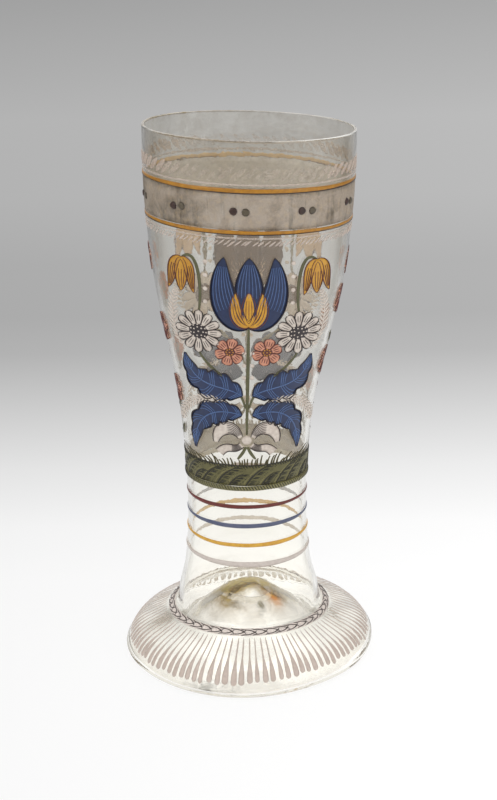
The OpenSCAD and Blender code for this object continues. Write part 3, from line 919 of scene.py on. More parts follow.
@dataclass
class Vessel:
    """The blown glass and the scar under it.

    Places of residues and of a painted highlight are x and y, and film_h are the heights between which the film
    in the mouth grows.
    """

    around: int = 224
    scar_r: float = 12.0
    scar_w: float = 1.6
    scar_t: float = 1.2
    scar_sink: float = 0.1
    scar_steps: int = 96
    film_h: tuple = (236.0, 270.0)
    painted_highlight_at: tuple = (1.0, -10.0)
    patch_at: tuple = (-45.5, -14.0)
    orange_spot_at: tuple = (13.0, -8.0)
    grain_at: tuple = (6.5, -17.0)
    crust_r: float = 16.0
    fold_r: float = 64.0

    def build(self) -> None:
        """Spin the section of the glass round the axis and dress it."""
        section = PROFILE.section()
        r, z = section[1:-1, 0][:, None], section[1:-1, 1][:, None]
        angle = even_turns(self.around)
        z = z + self.lumps(r, z, angle)
        rings = np.stack([r * np.sin(angle), -r * np.cos(angle), z], axis=-1).reshape(-1, 3)
        poles = np.array([[0, 0, section[0, 1]], [0, 0, section[-1, 1]]])
        points = np.vstack([rings, poles])
        index = np.arange(len(rings)).reshape(len(r), self.around)
        after = np.roll(index, -1, axis=1)
        quads = np.stack([index[:-1], after[:-1], after[1:], index[1:]], axis=-1).reshape(-1, 4)
        pole = np.full(self.around, len(rings))
        bottom = np.stack([after[0], index[0], pole], axis=-1)
        top = np.stack([index[-1], after[-1], pole + 1], axis=-1)
        faces = quads.tolist() + bottom.tolist() + top.tolist()
        made = new_piece("vessel_glass", points, faces, GLASS.material(), Slot.GLASS, "vessel")
        self.stain(made, self.residue(points))

    def lumps(self, r: Array, z: Array, angle: Array) -> Array:
        """Uneven upper face of the kick, where the rod pushed it up: waves round a ring near its top.

        Args:
            r: Radius of the points.
            z: Height of the points.
            angle: Angles round the axis.

        Returns:
            Heights to add.
        """
        rise = z - PROFILE.kick_height(r)
        face = (rise > 0.5 * PROFILE.kick_wall) * (rise < 2 * PROFILE.kick_wall) * (r < 50)
        waves = np.sin(3 * angle + 0.8) + 0.6 * np.sin(5 * angle - 0.4) + 0.35 * np.sin(11 * angle)
        return face * (0.55 * bell_curve(16, 7, r) * waves + 0.25 * bell_curve(33, 9, r) * np.sin(7 * angle))

    def stain(self, piece: bpy.types.Object, amounts: Array) -> None:
        """Keep the residues of a piece for its material.

        Args:
            piece: Piece of glass.
            amounts: Film, orange spot and soot at each point.
        """
        attribute = piece.data.attributes.new("stain", "FLOAT_VECTOR", "POINT")
        attribute.data.foreach_set("vector", amounts.astype(np.float32).ravel())

    def residue(self, points: Array) -> Array:
        """Dried residue: a film on the kick and in the mouth, an orange spot, grains, and dirt in the foot. The
        film stays off one spot in front of the kick's crest, which is a painted highlight, and it tints the lip
        as painted shade.

        Each is a bell or a smooth step of the place, cut off where the wall it lies on ends.

        Args:
            points: Points of the glass in millimetres.

        Returns:
            Film, orange spot and soot at each point. The material stops them at 1.
        """
        x, y, z = points.T
        r = np.hypot(x, y)
        angle = np.arctan2(x, -y)
        spots = ((self.painted_highlight_at, 7), (self.patch_at, 6), (self.orange_spot_at, 3.8), (self.grain_at, 1.9))
        bare, patch, orange_spot, grain = (bell_curve(0, size, np.hypot(x - at[0], y - at[1])) for at, size in spots)
        kick = z < PROFILE.kick_h + PROFILE.kick_wall + 1
        kick = kick * (r < PROFILE.radius(np.maximum(z, PROFILE.neck[1])) - 1)
        # The film stays off a spot in front of the crest, which leaves a painted highlight there.
        crest = bell_curve(0, 16, r) * (1 - bare)
        slope = smooth(48, 16, r) * smooth(-34, -4, y)
        slope = slope * (0.45 * smooth(4, -20, x) + 0.25 * smooth(0, 20, x))
        film = kick * (2.4 * crest + 0.8 * slope + 0.02)
        film = film + 0.27 * smooth(*self.film_h, z) + 0.16 * bell_curve(65, 3, r) * (z < 8)
        # The lip is tinted brown, most at the left and not at all at the right: painted shade on the glass
        # edge.
        film = film + 0.75 * smooth(PROFILE.height - 1.2, PROFILE.height - 0.4, z) * smooth(30, -30, x)
        film = film + 0.035 * smooth(64, 40, z) * (z > PROFILE.neck[1]) * (r > 25)
        patch = patch * (z > 10) * (z < 26)
        crust = 0.8 * bell_curve(self.crust_r, 0.9, r) * bell_curve(-0.42, 0.36, angle) * kick
        dirt = bell_curve(self.fold_r, 1.8, r) * bell_curve(-0.31, 0.18, angle) * (z < 7)
        soot = 1.6 * grain * kick + crust + 0.45 * patch + 0.9 * dirt
        return np.stack([film + 0.7 * patch, 1.4 * orange_spot * kick, soot], axis=1)

    def build_scar(self) -> None:
        """Broken ring of glass under the kick: a low ridge on its underside with a ragged height."""
        angle = even_turns(self.scar_steps)
        loop, top = stroke_cut(7, 2)
        ragged = 1 + 0.3 * np.sin(7 * angle + 1) + 0.25 * np.sin(17 * angle) + 0.15 * np.sin(31 * angle)
        r = self.scar_r + self.scar_w * loop + 0.5 * np.sin(3 * angle)[:, None]
        down = np.concatenate([self.scar_t * top, 0 * top - self.scar_sink])
        z = PROFILE.kick_height(r) - np.where(down > 0, down * ragged[:, None], down)
        xyz = np.stack([r * np.sin(angle)[:, None], -r * np.cos(angle)[:, None], z], axis=-1)
        index = np.arange(z.size).reshape(z.shape)
        far = np.roll(index, -1, axis=0)
        quads = np.stack([index, np.roll(index, -1, axis=1), np.roll(far, -1, axis=1), far], axis=-1)
        made = new_piece("pontil_scar_glass", xyz.reshape(-1, 3), quads.reshape(-1, 4).tolist(),
                         GLASS.material(), Slot.GLASS, "pontil_scar")
        self.stain(made, np.tile([0.4, 0.0, 0.25], (z.size, 1)))


def wobbly(level: float, amount: float, seed: int, count: int = 360) -> Array:
    """A level line drawn by hand: a few slow waves with random phases.

    Args:
        level: Mean value.
        amount: Size of the waves.
        seed: Seed of the phases.
        count: Number of angles.

    Returns:
        Values at even angles round the axis.
    """
    phases = np.random.default_rng(seed).random(6) * 2 * math.pi
    orders = np.array([1, 2, 3, 5, 9, 14])
    waves = np.sin(orders[:, None] * even_turns(count) + phases[:, None]) / orders[:, None] ** 0.5
    return level + amount * waves.sum(axis=0) / 2


def hand_ring(node: str, thick: float = 0.3, seed: int = 3, wide: float = 1.0, ease: float = 0.0) -> Paint:
    """A ring of enamel where a CAD ring is, drawn with a slightly unsteady brush.

    Args:
        node: CAD node of the ring.
        thick: Height of the enamel.
        seed: Seed of the unsteadiness.
        wide: Width of the brush line as a share of the CAD ring's.
        ease: How much finer the line runs at its two sides, where the brush was eased.

    Returns:
        The painted ring.
    """
    low, high = span(node)
    half = wide * (high - low) / 2
    level = wobbly((low + high) / 2, 0.16, seed)
    finer = 1 - ease * np.sin(even_turns(len(level))) ** 4
    paint = Paint(thick=thick)
    paint.ring(level, wobbly(half, 0.12 * half, seed + 1) * finer)
    return paint


@dataclass
class RimBorders:
    """Borders under the lip: leaf strokes, lines, gilding, pearls and comb."""

    leaf_count: int = 60
    leaf_w: float = 3.1
    leaf_wear: float = 0.52
    comb_count: int = 120
    comb_w: float = 1.0
    comb_wear: float = 0.25
    line_wear: float = 0.35
    lean: float = math.radians(50)
    ease: float = 0.3
    steps: int = 360
    pearl_pairs: int = 10
    pearl_r: float = 1.9
    pearl_pitch: float = 5.6
    pearl_turn: float = -0.09
    halo: float = 0.5
    seed: int = 11

    def slanted(self, node: str, count: int, width: float, depth: float) -> Paint:
        """Slanted strokes side by side, each a curved dab that swells in the middle.

        They are rubbed most at the front and back, where hands held the glass.

        Args:
            node: CAD node of the border.
            count: Number of strokes round the glass.
            width: Greatest width of a stroke.
            depth: Greatest wear of a stroke.

        Returns:
            The painted border.
        """
        chance = np.random.default_rng(self.seed)
        low, high = span(node)
        lean = (high - low) * math.tan(self.lean) / 2
        bow = 0.12 * (high - low)
        dab = bezier((-lean, low), (-lean / 3 - bow, low + (high - low) / 3),
                     (lean / 3 + bow, high - (high - low) / 3), (lean, high), 10)
        jitter = chance.normal(0, 0.16, (count, 1, 2))
        path = dab[None] + jitter + chance.normal(0, 0.1, (count, 1, 1)) * (dab - dab.mean(axis=0))[None]
        half = width / 2 * arch(0.03, 0.97, 10, 0.6)
        turns = even_turns(count)
        wear = depth * smooth(0.45, 0.9, np.abs(np.cos(turns)))
        turns = turns + chance.normal(0, 0.006, count)
        paint = Paint(thick=0.25)
        paint.lay(path, half * chance.uniform(0.8, 1.15, (count, 1)), across=5, wear=wear, angles=turns)
        return paint

    def build(self) -> None:
        """Paint the strokes, white lines, yellow lines with a dark edge, gilding and pearls."""
        leaf = self.slanted("rim_leaf_border", self.leaf_count, self.leaf_w, self.leaf_wear)
        leaf.piece("rim_leaf_strokes", RIM_WHITE, Slot.WHITE, "rim_leaf_border")
        comb = self.slanted("collar_comb", self.comb_count, self.comb_w, self.comb_wear)
        comb.piece("collar_comb_strokes", WORN_WHITE, Slot.WHITE, "collar_comb")
        for node, seed in (("rim_white_line", 5), ("collar_white_line", 7)):
            low, high = span(node)
            line = Paint(thick=0.2)
            line.ring(wobbly((low + high) / 2, 0.12, seed), wobbly((high - low) / 2, 0.06, seed),
                      wear=self.line_wear)
            line.piece(node + "_paint", WORN_WHITE, Slot.WHITE, node)
        for node, seed, wide in (("upper_yellow_line", 21, 0.88), ("lower_yellow_line", 23, 0.74)):
            line = hand_ring(node, seed=seed, wide=wide, ease=self.ease)
            line.piece(node + "_paint", YELLOW, Slot.YELLOW, node)
            low, high = span(node)
            edge = Paint(thick=0.34)
            edge.ring(wobbly((low + high) / 2, 0.16, seed) - 0.42 * (high - low),
                      np.clip(wobbly(0.22, 0.12, seed + 4), 0.04, 1), across=3)
            edge.piece(node + "_shade", BLACK, Slot.BLACK)
        low, high = span("gilt_band")
        gilt = Paint(thick=0.12)
        gilt.ring(np.full(self.steps, (low + high) / 2), np.full(self.steps, (high - low) / 2), across=7)
        gilt.piece("gilt_film", Gilding(), Slot.GILT, "gilt_band")
        self.build_pearls((low + high) / 2)

    def build_pearls(self, level: float) -> None:
        """Pairs of round drops on the gilding, each on a thin pale halo.

        Args:
            level: Height of their middles.
        """
        chance = np.random.default_rng(self.seed + 1)
        turns = even_turns(self.pearl_pairs)
        turns = turns + chance.normal(0, 0.012, self.pearl_pairs) + self.pearl_turn
        halo = Paint(thick=0.16)
        for side, finish, slot, node in ((-1, BROWN, Slot.RED, "brown_pearls"),
                                         (1, OLIVE, Slot.OLIVE, "grey_pearls")):
            middle = np.array([side * self.pearl_pitch / 2, level])
            middle = middle + chance.normal(0, 0.25, (self.pearl_pairs, 1, 2))
            path, half = disc(self.pearl_r)
            drop = Paint(thick=0.75, base=0.1)
            drop.lay(middle + path, half, across=7, angles=turns)
            drop.piece(node + "_drops", finish, slot, node)
            path, half = disc(self.pearl_r + self.halo)
            halo.lay(middle + path, half, across=5, wear=0.5, angles=turns)
        halo.piece("pearl_halos", WORN_WHITE, Slot.WHITE)


def disc(r: float, count: int = 11) -> tuple[Array, Array]:
    """A round dab as a short stroke whose half width follows the circle.

    Args:
        r: Radius.
        count: Points along it.

    Returns:
        The path about the middle, and its half widths.
    """
    turn = np.linspace(-0.985, 0.985, count) * math.pi / 2
    return np.stack([r * np.sin(turn), 0 * turn], axis=1), r * np.cos(turn)


@dataclass
class Blade:
    """A painted shape that is wide along a path, such as a petal, leaf or ribbon.

    Attributes:
        path: Points of its middle line.
        half: Half width at each of them.
    """

    path: Array
    half: Array

    def at(self, u: Array, q: Array) -> Array:
        """Points at shares u along the blade and q across it, straight from edge to edge.

        Args:
            u: Share of the length, from 0 to 1.
            q: Place across, from -1 at the right edge to 1 at the left.

        Returns:
            Drawing points.
        """
        steps = np.linspace(0, 1, len(self.path))
        out = (self.half[:, None] * normals_of(self.path))[:, None]
        edge = self.path[:, None] + np.array([-1.0, 1.0])[:, None] * out
        sides = np.stack([[np.interp(u, steps, edge[:, s, k]) for k in (0, 1)] for s in (0, 1)])
        return ((1 - q) / 2 * sides[0] + (1 + q) / 2 * sides[1]).T

    def mirrored(self) -> "Blade":
        """The blade on the other side of the drawing's middle line."""
        return Blade(self.path * FLIP, self.half)

    def lines(self, places: Array | tuple, start: float, stop: float, count: int) -> list[Array]:
        """Lines along the blade at places across it, from share start to share stop of its length."""
        u = np.linspace(start, stop, count)
        return [self.at(u, np.full(count, q)) for q in places]

    def ribs(self, starts: Array, reach: float, lean: float, count: int = 14) -> list[Array]:
        """Side veins from the middle towards both edges.

        Args:
            starts: Shares of the length where veins leave the middle.
            reach: Place across where they end.
            lean: Share of the length that they run forward.
            count: Points along each vein.

        Returns:
            Paths of the veins.
        """
        k = np.linspace(0, 1, count)
        return [self.at(np.clip(s + lean * k ** 1.4, 0, 1), side * reach * k)
                for s in starts for side in (-1, 1)]


def both(blades: list[Blade]) -> list[Blade]:
    """The blades and their mirror images."""
    return blades + [b.mirrored() for b in blades]


def lines_of(blades: list[Blade], places: Array | tuple, start: float, stop: float,
             count: int = 14) -> list[Array]:
    """Lines along all the blades at places across them, between two shares of their length."""
    return [line for b in blades for line in b.lines(places, start, stop, count)]


def edges_of(blades: list[Blade], count: int = 40) -> list[Array]:
    """Both edges of all the blades as paths."""
    return lines_of(blades, (-1.0, 1.0), 0, 1, count)


def lay_blades(paint: Paint, blades: list[Blade], turns: tuple = FRONT_AND_BACK, across: int = 7) -> None:
    """Fill blades of one length of path with enamel."""
    paint.lay(np.stack([b.path for b in blades]), np.stack([b.half for b in blades]), turns, across)


def lay_lines(paint: Paint, lines: list[Array], width: float, turns: tuple = FRONT_AND_BACK) -> None:
    """Draw lines with a brush that starts and ends fine, all of one number of points."""
    swell = 0.45 + 0.55 * arch(0.04, 0.96, lines[0].shape[0], 0.6)
    paint.lay(np.stack(lines), width / 2 * swell, turns)


@dataclass
class Bouquet:
    """Painted field: a tied bouquet at the front and the back, and a stalk of roses at each side.

    Places are in hundredths of the picture's width and of the field's height, from the middle of its lower
    edge. Sizes are in millimetres.
    """

    gap: float = 1.0
    wide: float = 3.6 * PROFILE.waist_r
    tulip_at: tuple = (0.0, 65.0)
    tulip_w: float = 36.0
    tulip_h: float = 35.0
    daisy_at: tuple = (21.5, 60.5)
    daisy_r: float = 11.4
    daisy_petals: int = 12
    petal_w: float = 2.75
    eye_r: float = 4.8
    rose_at: tuple = (8.0, 52.3)
    stalk_at: tuple = ((0, 86), (-8, 70), (8, 56), (-7, 41), (7, 27))
    rose_r: float = 7.4
    rose_petals: int = 6
    heart_r: float = 2.8
    bell_at: tuple = (29.0, 93.0)
    bell_w: float = 13.0
    bell_h: float = 17.0
    leaf_w: tuple = (17.0, 14.0)
    lobes: int = 5
    knot_at: tuple = (0.0, 9.3)
    ribbon_w: float = 6.0
    stem_w: float = 1.68
    line: float = 0.5
    fine: float = 0.36
    hair: float = 0.28

    @cached_property
    def field(self) -> tuple[float, float]:
        """Lower edge and height of the painted field, between the meadow and the comb."""
        low = span("meadow")[1] + self.gap
        return low, span("collar_comb")[0] - self.gap - low

    def at(self, x: float, y: float) -> Array:
        """A place in the field as a drawing point."""
        low, tall = self.field
        return np.array([self.wide * x / 100, low + tall * y / 100])

    def curve(self, *places: tuple, count: int = 24) -> Array:
        """A cubic curve through the field from four places."""
        return bezier(*(self.at(*p) for p in places), count)

    def leaves(self) -> list[Blade]:
        """Scalloped leaves: the half width is a sine of the length, cut by the lobes."""
        u = np.linspace(0, 1, 61)
        shape = 0.72 + 0.28 * np.abs(np.sin(self.lobes * math.pi * u))
        shape = (0.06 + np.sin(math.pi * u ** 0.8)) * shape
        upper = self.curve((2.2, 31), (11, 37.5), (24, 31), (27.5, 48.5), count=61)
        lower = self.curve((2.2, 21.5), (11, 25), (23.5, 23), (22.5, 2.5), count=61)
        return both([Blade(p, w / 2 * shape) for p, w in zip((upper, lower), self.leaf_w)])

    def tulip(self, scale: float = 1.0) -> list[Blade]:
        """Two outer petals and a middle one: each swells along its path and ends in a point."""
        u = np.linspace(0, 1, 33)
        w, h = self.tulip_w / 2 * scale, self.tulip_h * scale
        foot = self.at(*self.tulip_at)
        outer = foot + bezier((0, 0.02 * h), (0.62 * w, 0.02 * h), (0.86 * w, 0.55 * h), (0.67 * w, h), 33)
        middle = foot + bezier((0, 0.02 * h), (0, 0.3 * h), (0, 0.7 * h), (0, h), 33)
        swell = np.sin(math.pi * np.clip(0.05 + 0.95 * u ** 0.9, 0, 1)) ** 0.7
        return both([Blade(outer, 0.38 * w * swell)]) + [Blade(middle, 0.4 * w * swell)]

    def petals(self, middle: Array, inner: float, outer: float, width: float, count: int,
               turn: float = 0.0) -> list[Blade]:
        """Rounded petals round a middle: the half width grows as a root and closes in a round end.

        Args:
            middle: Middle of the flower.
            inner: Radius where the petals start.
            outer: Radius where they end.
            width: Greatest half width.
            count: Number of petals.
            turn: Angle of the first petal.

        Returns:
            The petals.
        """
        u = np.linspace(0, 1, 17)
        half = width * (0.3 + 0.7 * u ** 0.7) * np.sqrt(1 - 0.985 * u ** 5)
        reach = (inner + (outer - inner) * u)[:, None]
        return [Blade(middle + reach * np.array([math.cos(a), math.sin(a)]), half)
                for a in turn + even_turns(count)]

    def bells(self) -> list[Blade]:
        """Hanging bells: two side petals that flare at the mouth, and a middle one."""
        u = np.linspace(0, 1, 25)
        w, h = self.bell_w / 2, self.bell_h
        top = self.at(*self.bell_at)
        swell = np.sin(math.pi * np.clip(0.06 + 0.94 * u ** 0.85, 0, 1)) ** 0.7
        sides = [bezier((0, 0), (s * 0.9 * w, -0.05 * h), (s * 0.55 * w, -0.6 * h), (s * w, -h), 25)
                 for s in (-1, 1)]
        middle = bezier((0, 0), (0, -0.3 * h), (0, -0.7 * h), (0, -h), 25)
        petals = [Blade(top + side, 0.36 * w * swell) for side in sides]
        return petals + [Blade(top + middle, 0.5 * w * swell)]

    def ribbon(self) -> list[Blade]:
        """Bow loops and tails as bands."""
        u = np.linspace(0, 1, 25)
        loop = self.curve((2.8, 10.6), (6.2, 18), (13.3, 15.5), (13.6, 7.5), count=25)
        tail = self.curve((2.2, 7), (6, 3), (8, 8), (12, 2.6), count=25)
        return both([Blade(loop, self.ribbon_w * (0.2 + 0.4 * np.sin(math.pi * u))),
                     Blade(tail, self.ribbon_w * (0.26 + 0.14 * u))])

    def build(self) -> None:
        """Paint the field, colour by colour, and then its fine lines."""
        ink, pale, brown = (Paint(thick=0.14, sink=0.42, base=0.36) for _ in range(3))
        self.build_stems(ink)
        self.build_leaves(ink, pale)
        self.build_tulips(ink, pale, brown)
        self.build_daisies(ink)
        self.build_roses(brown)
        self.build_bells(brown)
        self.build_ribbon(ink)
        self.build_sprays()
        ink.piece("ink_lines", BLACK, Slot.BLACK)
        pale.piece("pale_blue_lines", PALE_BLUE, Slot.BLUE)
        brown.piece("brown_lines", RED, Slot.RED)

    def build_stems(self, ink: Paint) -> None:
        """Stems of the bouquets and stalks, with small leaflets."""
        stems = Paint(thick=0.22)
        arms = [self.curve((0.8, 25), (4, 40), (16, 40), (21.5, 51)),
                self.curve((21.5, 70), (19.5, 82), (22, 101), (29, 93)),
                self.curve((0.4, 6), (1, 4), (2.4, 2), (4, 0))]
        arms += [a * FLIP for a in arms] + [self.curve((0, 12), (0, 30), (0, 50), (0, 65.6))]
        lay_lines(stems, arms, self.stem_w)
        stalk = self.curve((0, 0), (4, 30), (-4, 60), (0, 80))
        lay_lines(stems, [stalk], self.stem_w, SIDES)
        half = 2.1 * arch(0.03, 0.98, 17, 0.9)
        leaflets = []
        for y, reach, rise in ((5, 9, 6), (17, 8, 7), (48, -8, 7), (62, -7, 7), (33, -8, 6)):
            path = self.curve((0, y), (reach * 0.4, y), (reach, y + rise * 0.4), (reach, y + rise), count=17)
            leaflets.append(Blade(path, half))
        lay_blades(stems, leaflets, SIDES, across=5)
        stems.piece("stem_paint", GREEN, Slot.GREEN, "stems")
        lay_lines(ink, lines_of(leaflets, (0.0,), 0.05, 0.9), self.fine, SIDES)

    def build_leaves(self, ink: Paint, pale: Paint) -> None:
        """Blue leaves with pale veins that fan into each lobe and a dark edge."""
        leaves = self.leaves()
        paint = Paint(thick=0.28)
        lay_blades(paint, leaves, across=9)
        paint.piece("blue_leaf_paint", BLUE, Slot.BLUE, "blue_leaves")
        roots = np.arange(self.lobes) / self.lobes
        lay_lines(ink, edges_of(leaves, 60), self.line)
        lay_lines(pale, lines_of(leaves, (0.0,), 0.02, 0.96), 0.6)
        for shift, reach, lean in ((0.02, 0.8, 0.07), (0.05, 0.86, 0.09), (0.08, 0.82, 0.1)):
            veins = [rib for b in leaves for rib in b.ribs(roots + shift, reach, lean)]
            lay_lines(pale, veins, self.fine)

    def build_tulips(self, ink: Paint, pale: Paint, brown: Paint) -> None:
        """The large tulips: blue at the front, dark at the back, hatched, with a yellow cup at the base."""
        petals = self.tulip()
        front, back = FRONT_AND_BACK
        for turn, finish, slot, node in ((front, BLUE, Slot.BLUE, "blue_tulip"),
                                         (back, BLACK, Slot.BLACK, "dark_tulip")):
            sides = Paint(thick=0.26)
            lay_blades(sides, petals[:2], (turn,), across=9)
            sides.thick = 0.34
            lay_blades(sides, petals[2:], (turn,), across=9)
            sides.piece(node + "_petals", finish, slot, node)
        lay_lines(pale, lines_of(petals, np.linspace(-0.75, 0.75, 7), 0.42, 0.9), self.fine)
        lay_lines(ink, edges_of(petals), self.line)
        cup = self.tulip(0.5)
        paint = Paint(thick=0.4, sink=0.08)
        lay_blades(paint, cup)
        paint.piece("tulip_cup_paint", GOLDEN, Slot.YELLOW, "tulip_cup")
        lay_lines(brown, edges_of(cup), self.line)
        lay_lines(brown, lines_of(cup, (-0.4, 0.0, 0.4), 0.2, 0.75), self.fine)

    def build_daisies(self, ink: Paint) -> None:
        """White daisies with a dark dotted eye; fine dark lines part the petals."""
        middle = self.at(*self.daisy_at)
        petals = both(self.petals(middle, 0.8 * self.eye_r, self.daisy_r, self.petal_w, self.daisy_petals))
        paint = Paint(thick=0.28)
        lay_blades(paint, petals, across=5)
        paint.piece("white_daisy_paint", WHITE, Slot.WHITE, "white_daisies")
        lay_lines(ink, edges_of(petals, 16), self.fine)
        lay_lines(ink, lines_of(petals, (-0.3, 0.3), 0.25, 0.7), self.hair)
        path, half = disc(self.eye_r)
        eyes = Paint(thick=0.42, sink=0.3)
        eyes.lay(np.stack([path + middle * FLIP, path + middle]), half, FRONT_AND_BACK, across=9)
        eyes.piece("daisy_eye_paint", BLACK, Slot.BLACK, "daisy_eyes")
        self.dots(middle, (0.0, 0.5, 0.8), self.eye_r, 0.42, "daisy_eye_dots", WHITE, Slot.WHITE)

    def dots(self, middle: Array, rings: tuple, radius: float, size: float, name: str, finish: Enamel,
             slot: Slot) -> None:
        """Dots in rings on a flower's eye, on both sides of the bouquet.

        Args:
            middle: Middle of the flower.
            rings: Shares of the radius at which rings of dots lie, up to 14 dots on the outermost.
            radius: Radius of the eye.
            size: Radius of a dot.
            name: Name of the piece.
            finish: Enamel of the dots.
            slot: Material slot of the record.
        """
        turns = [even_turns(max(1, round(14 * ring))) for ring in rings]
        spots = np.vstack([radius * ring * np.stack([np.cos(turn), np.sin(turn)], axis=1)
                           for ring, turn in zip(rings, turns)])
        places = np.vstack([middle * FLIP + spots, middle + spots])
        path, half = disc(size, 6)
        paint = Paint(thick=0.22, sink=0.3, base=0.38)
        paint.lay(places[:, None] + path, half, FRONT_AND_BACK)
        paint.piece(name, finish, slot)

    def build_roses(self, brown: Paint) -> None:
        """Pink roses with a red heart and red arcs on each petal."""
        paint, hearts = Paint(thick=0.28), Paint(thick=0.45, sink=0.3)
        path, half = disc(self.heart_r)
        right = self.at(*self.rose_at)
        stalk = [self.at(*place) for place in self.stalk_at]
        for middles, turns in (([right, right * FLIP], FRONT_AND_BACK), (stalk, SIDES)):
            petals = [b for m in middles
                      for b in self.petals(m, 1.6, self.rose_r, 3.5, self.rose_petals, 0.3)]
            lay_blades(paint, petals, turns)
            hearts.lay(np.stack([m + path for m in middles]), half, turns, across=7)
            lay_lines(brown, edges_of(petals, 16), self.fine, turns)
            lay_lines(brown, lines_of(petals, (-0.45, 0.0, 0.45), 0.3, 0.75), self.fine, turns)
        paint.piece("pink_rose_paint", PINK, Slot.PINK, "pink_roses")
        hearts.piece("rose_heart_paint", RED, Slot.RED, "rose_hearts")
        self.dots(right, (0.0, 0.6), self.heart_r, 0.4, "rose_heart_dots", GOLDEN, Slot.YELLOW)

    def build_bells(self, brown: Paint) -> None:
        """Yellow bells with brown lines: first the side petals of both, then the middle ones over them."""
        bells = [b for right in self.bells() for b in both([right])]
        paint = Paint(thick=0.26)
        lay_blades(paint, bells[:4])
        paint.thick = 0.34
        lay_blades(paint, bells[4:])
        paint.piece("yellow_bell_paint", GOLDEN, Slot.YELLOW, "yellow_bells")
        lay_lines(brown, edges_of(bells, 24), self.fine)
        lay_lines(brown, lines_of(bells, (-0.35, 0.1, 0.5), 0.35, 0.9), self.fine)

    def build_ribbon(self, ink: Paint) -> None:
        """White ribbon bow, hatched along its folds."""
        bands = self.ribbon()
        paint = Paint(thick=0.26)
        lay_blades(paint, bands)
        path, half = disc(self.ribbon_w / 2.4)
        paint.lay(path + self.at(*self.knot_at), half, FRONT_AND_BACK, across=7)
        paint.piece("white_ribbon_paint", WHITE, Slot.WHITE, "white_ribbon")
        lay_lines(ink, edges_of(bands, 24), self.fine)
        lay_lines(ink, lines_of(bands, np.linspace(-0.7, 0.7, 6), 0.05, 0.45), self.hair)

    def build_sprays(self) -> None:
        """White drops in rows, and fern fronds with fine leaflets along a curved spine."""
        paint = Paint(thick=0.3)
        rows = [self.at(18.6, 75 + 6 * i) for i in range(4)] + [self.at(1.8, 40 + 6 * i) for i in range(3)]
        path, half = disc(1.1, 7)
        drops = np.stack([p * np.array([s, 1]) for p in rows for s in (-1, 1)])
        paint.lay(drops[:, None] + path, half, FRONT_AND_BACK, across=5)
        fronds = [self.curve((9, 27.5), (18, 31), (28, 27), (29.5, 12)),
                  self.curve((27.5, 51), (34, 58), (34.5, 72), (31, 79))]
        fronds += [f * FLIP for f in fronds]
        lay_lines(paint, fronds, 0.6)
        u = np.linspace(0.06, 0.97, 15)
        k = np.linspace(0, 1, 7)[:, None]
        reach = (np.sin(math.pi * (0.1 + 0.85 * u)) ** 0.6)[:, None]
        leaflets = []
        for frond in fronds:
            spine = Blade(frond, np.full(len(frond), 2.6))
            root = spine.at(u, 0 * u)
            for side in (-1.0, 1.0):
                tip = spine.at(np.clip(u + 0.09, 0, 1), side + 0 * u)
                leaflets += [r + k * (t - r) * s for r, t, s in zip(root, tip, reach)]
        half = 0.42 * (0.3 + arch(0.1, 0.95, 7))
        paint.lay(np.stack(leaflets), half, FRONT_AND_BACK)
        paint.piece("white_spray_paint", WHITE, Slot.WHITE, "white_sprays")


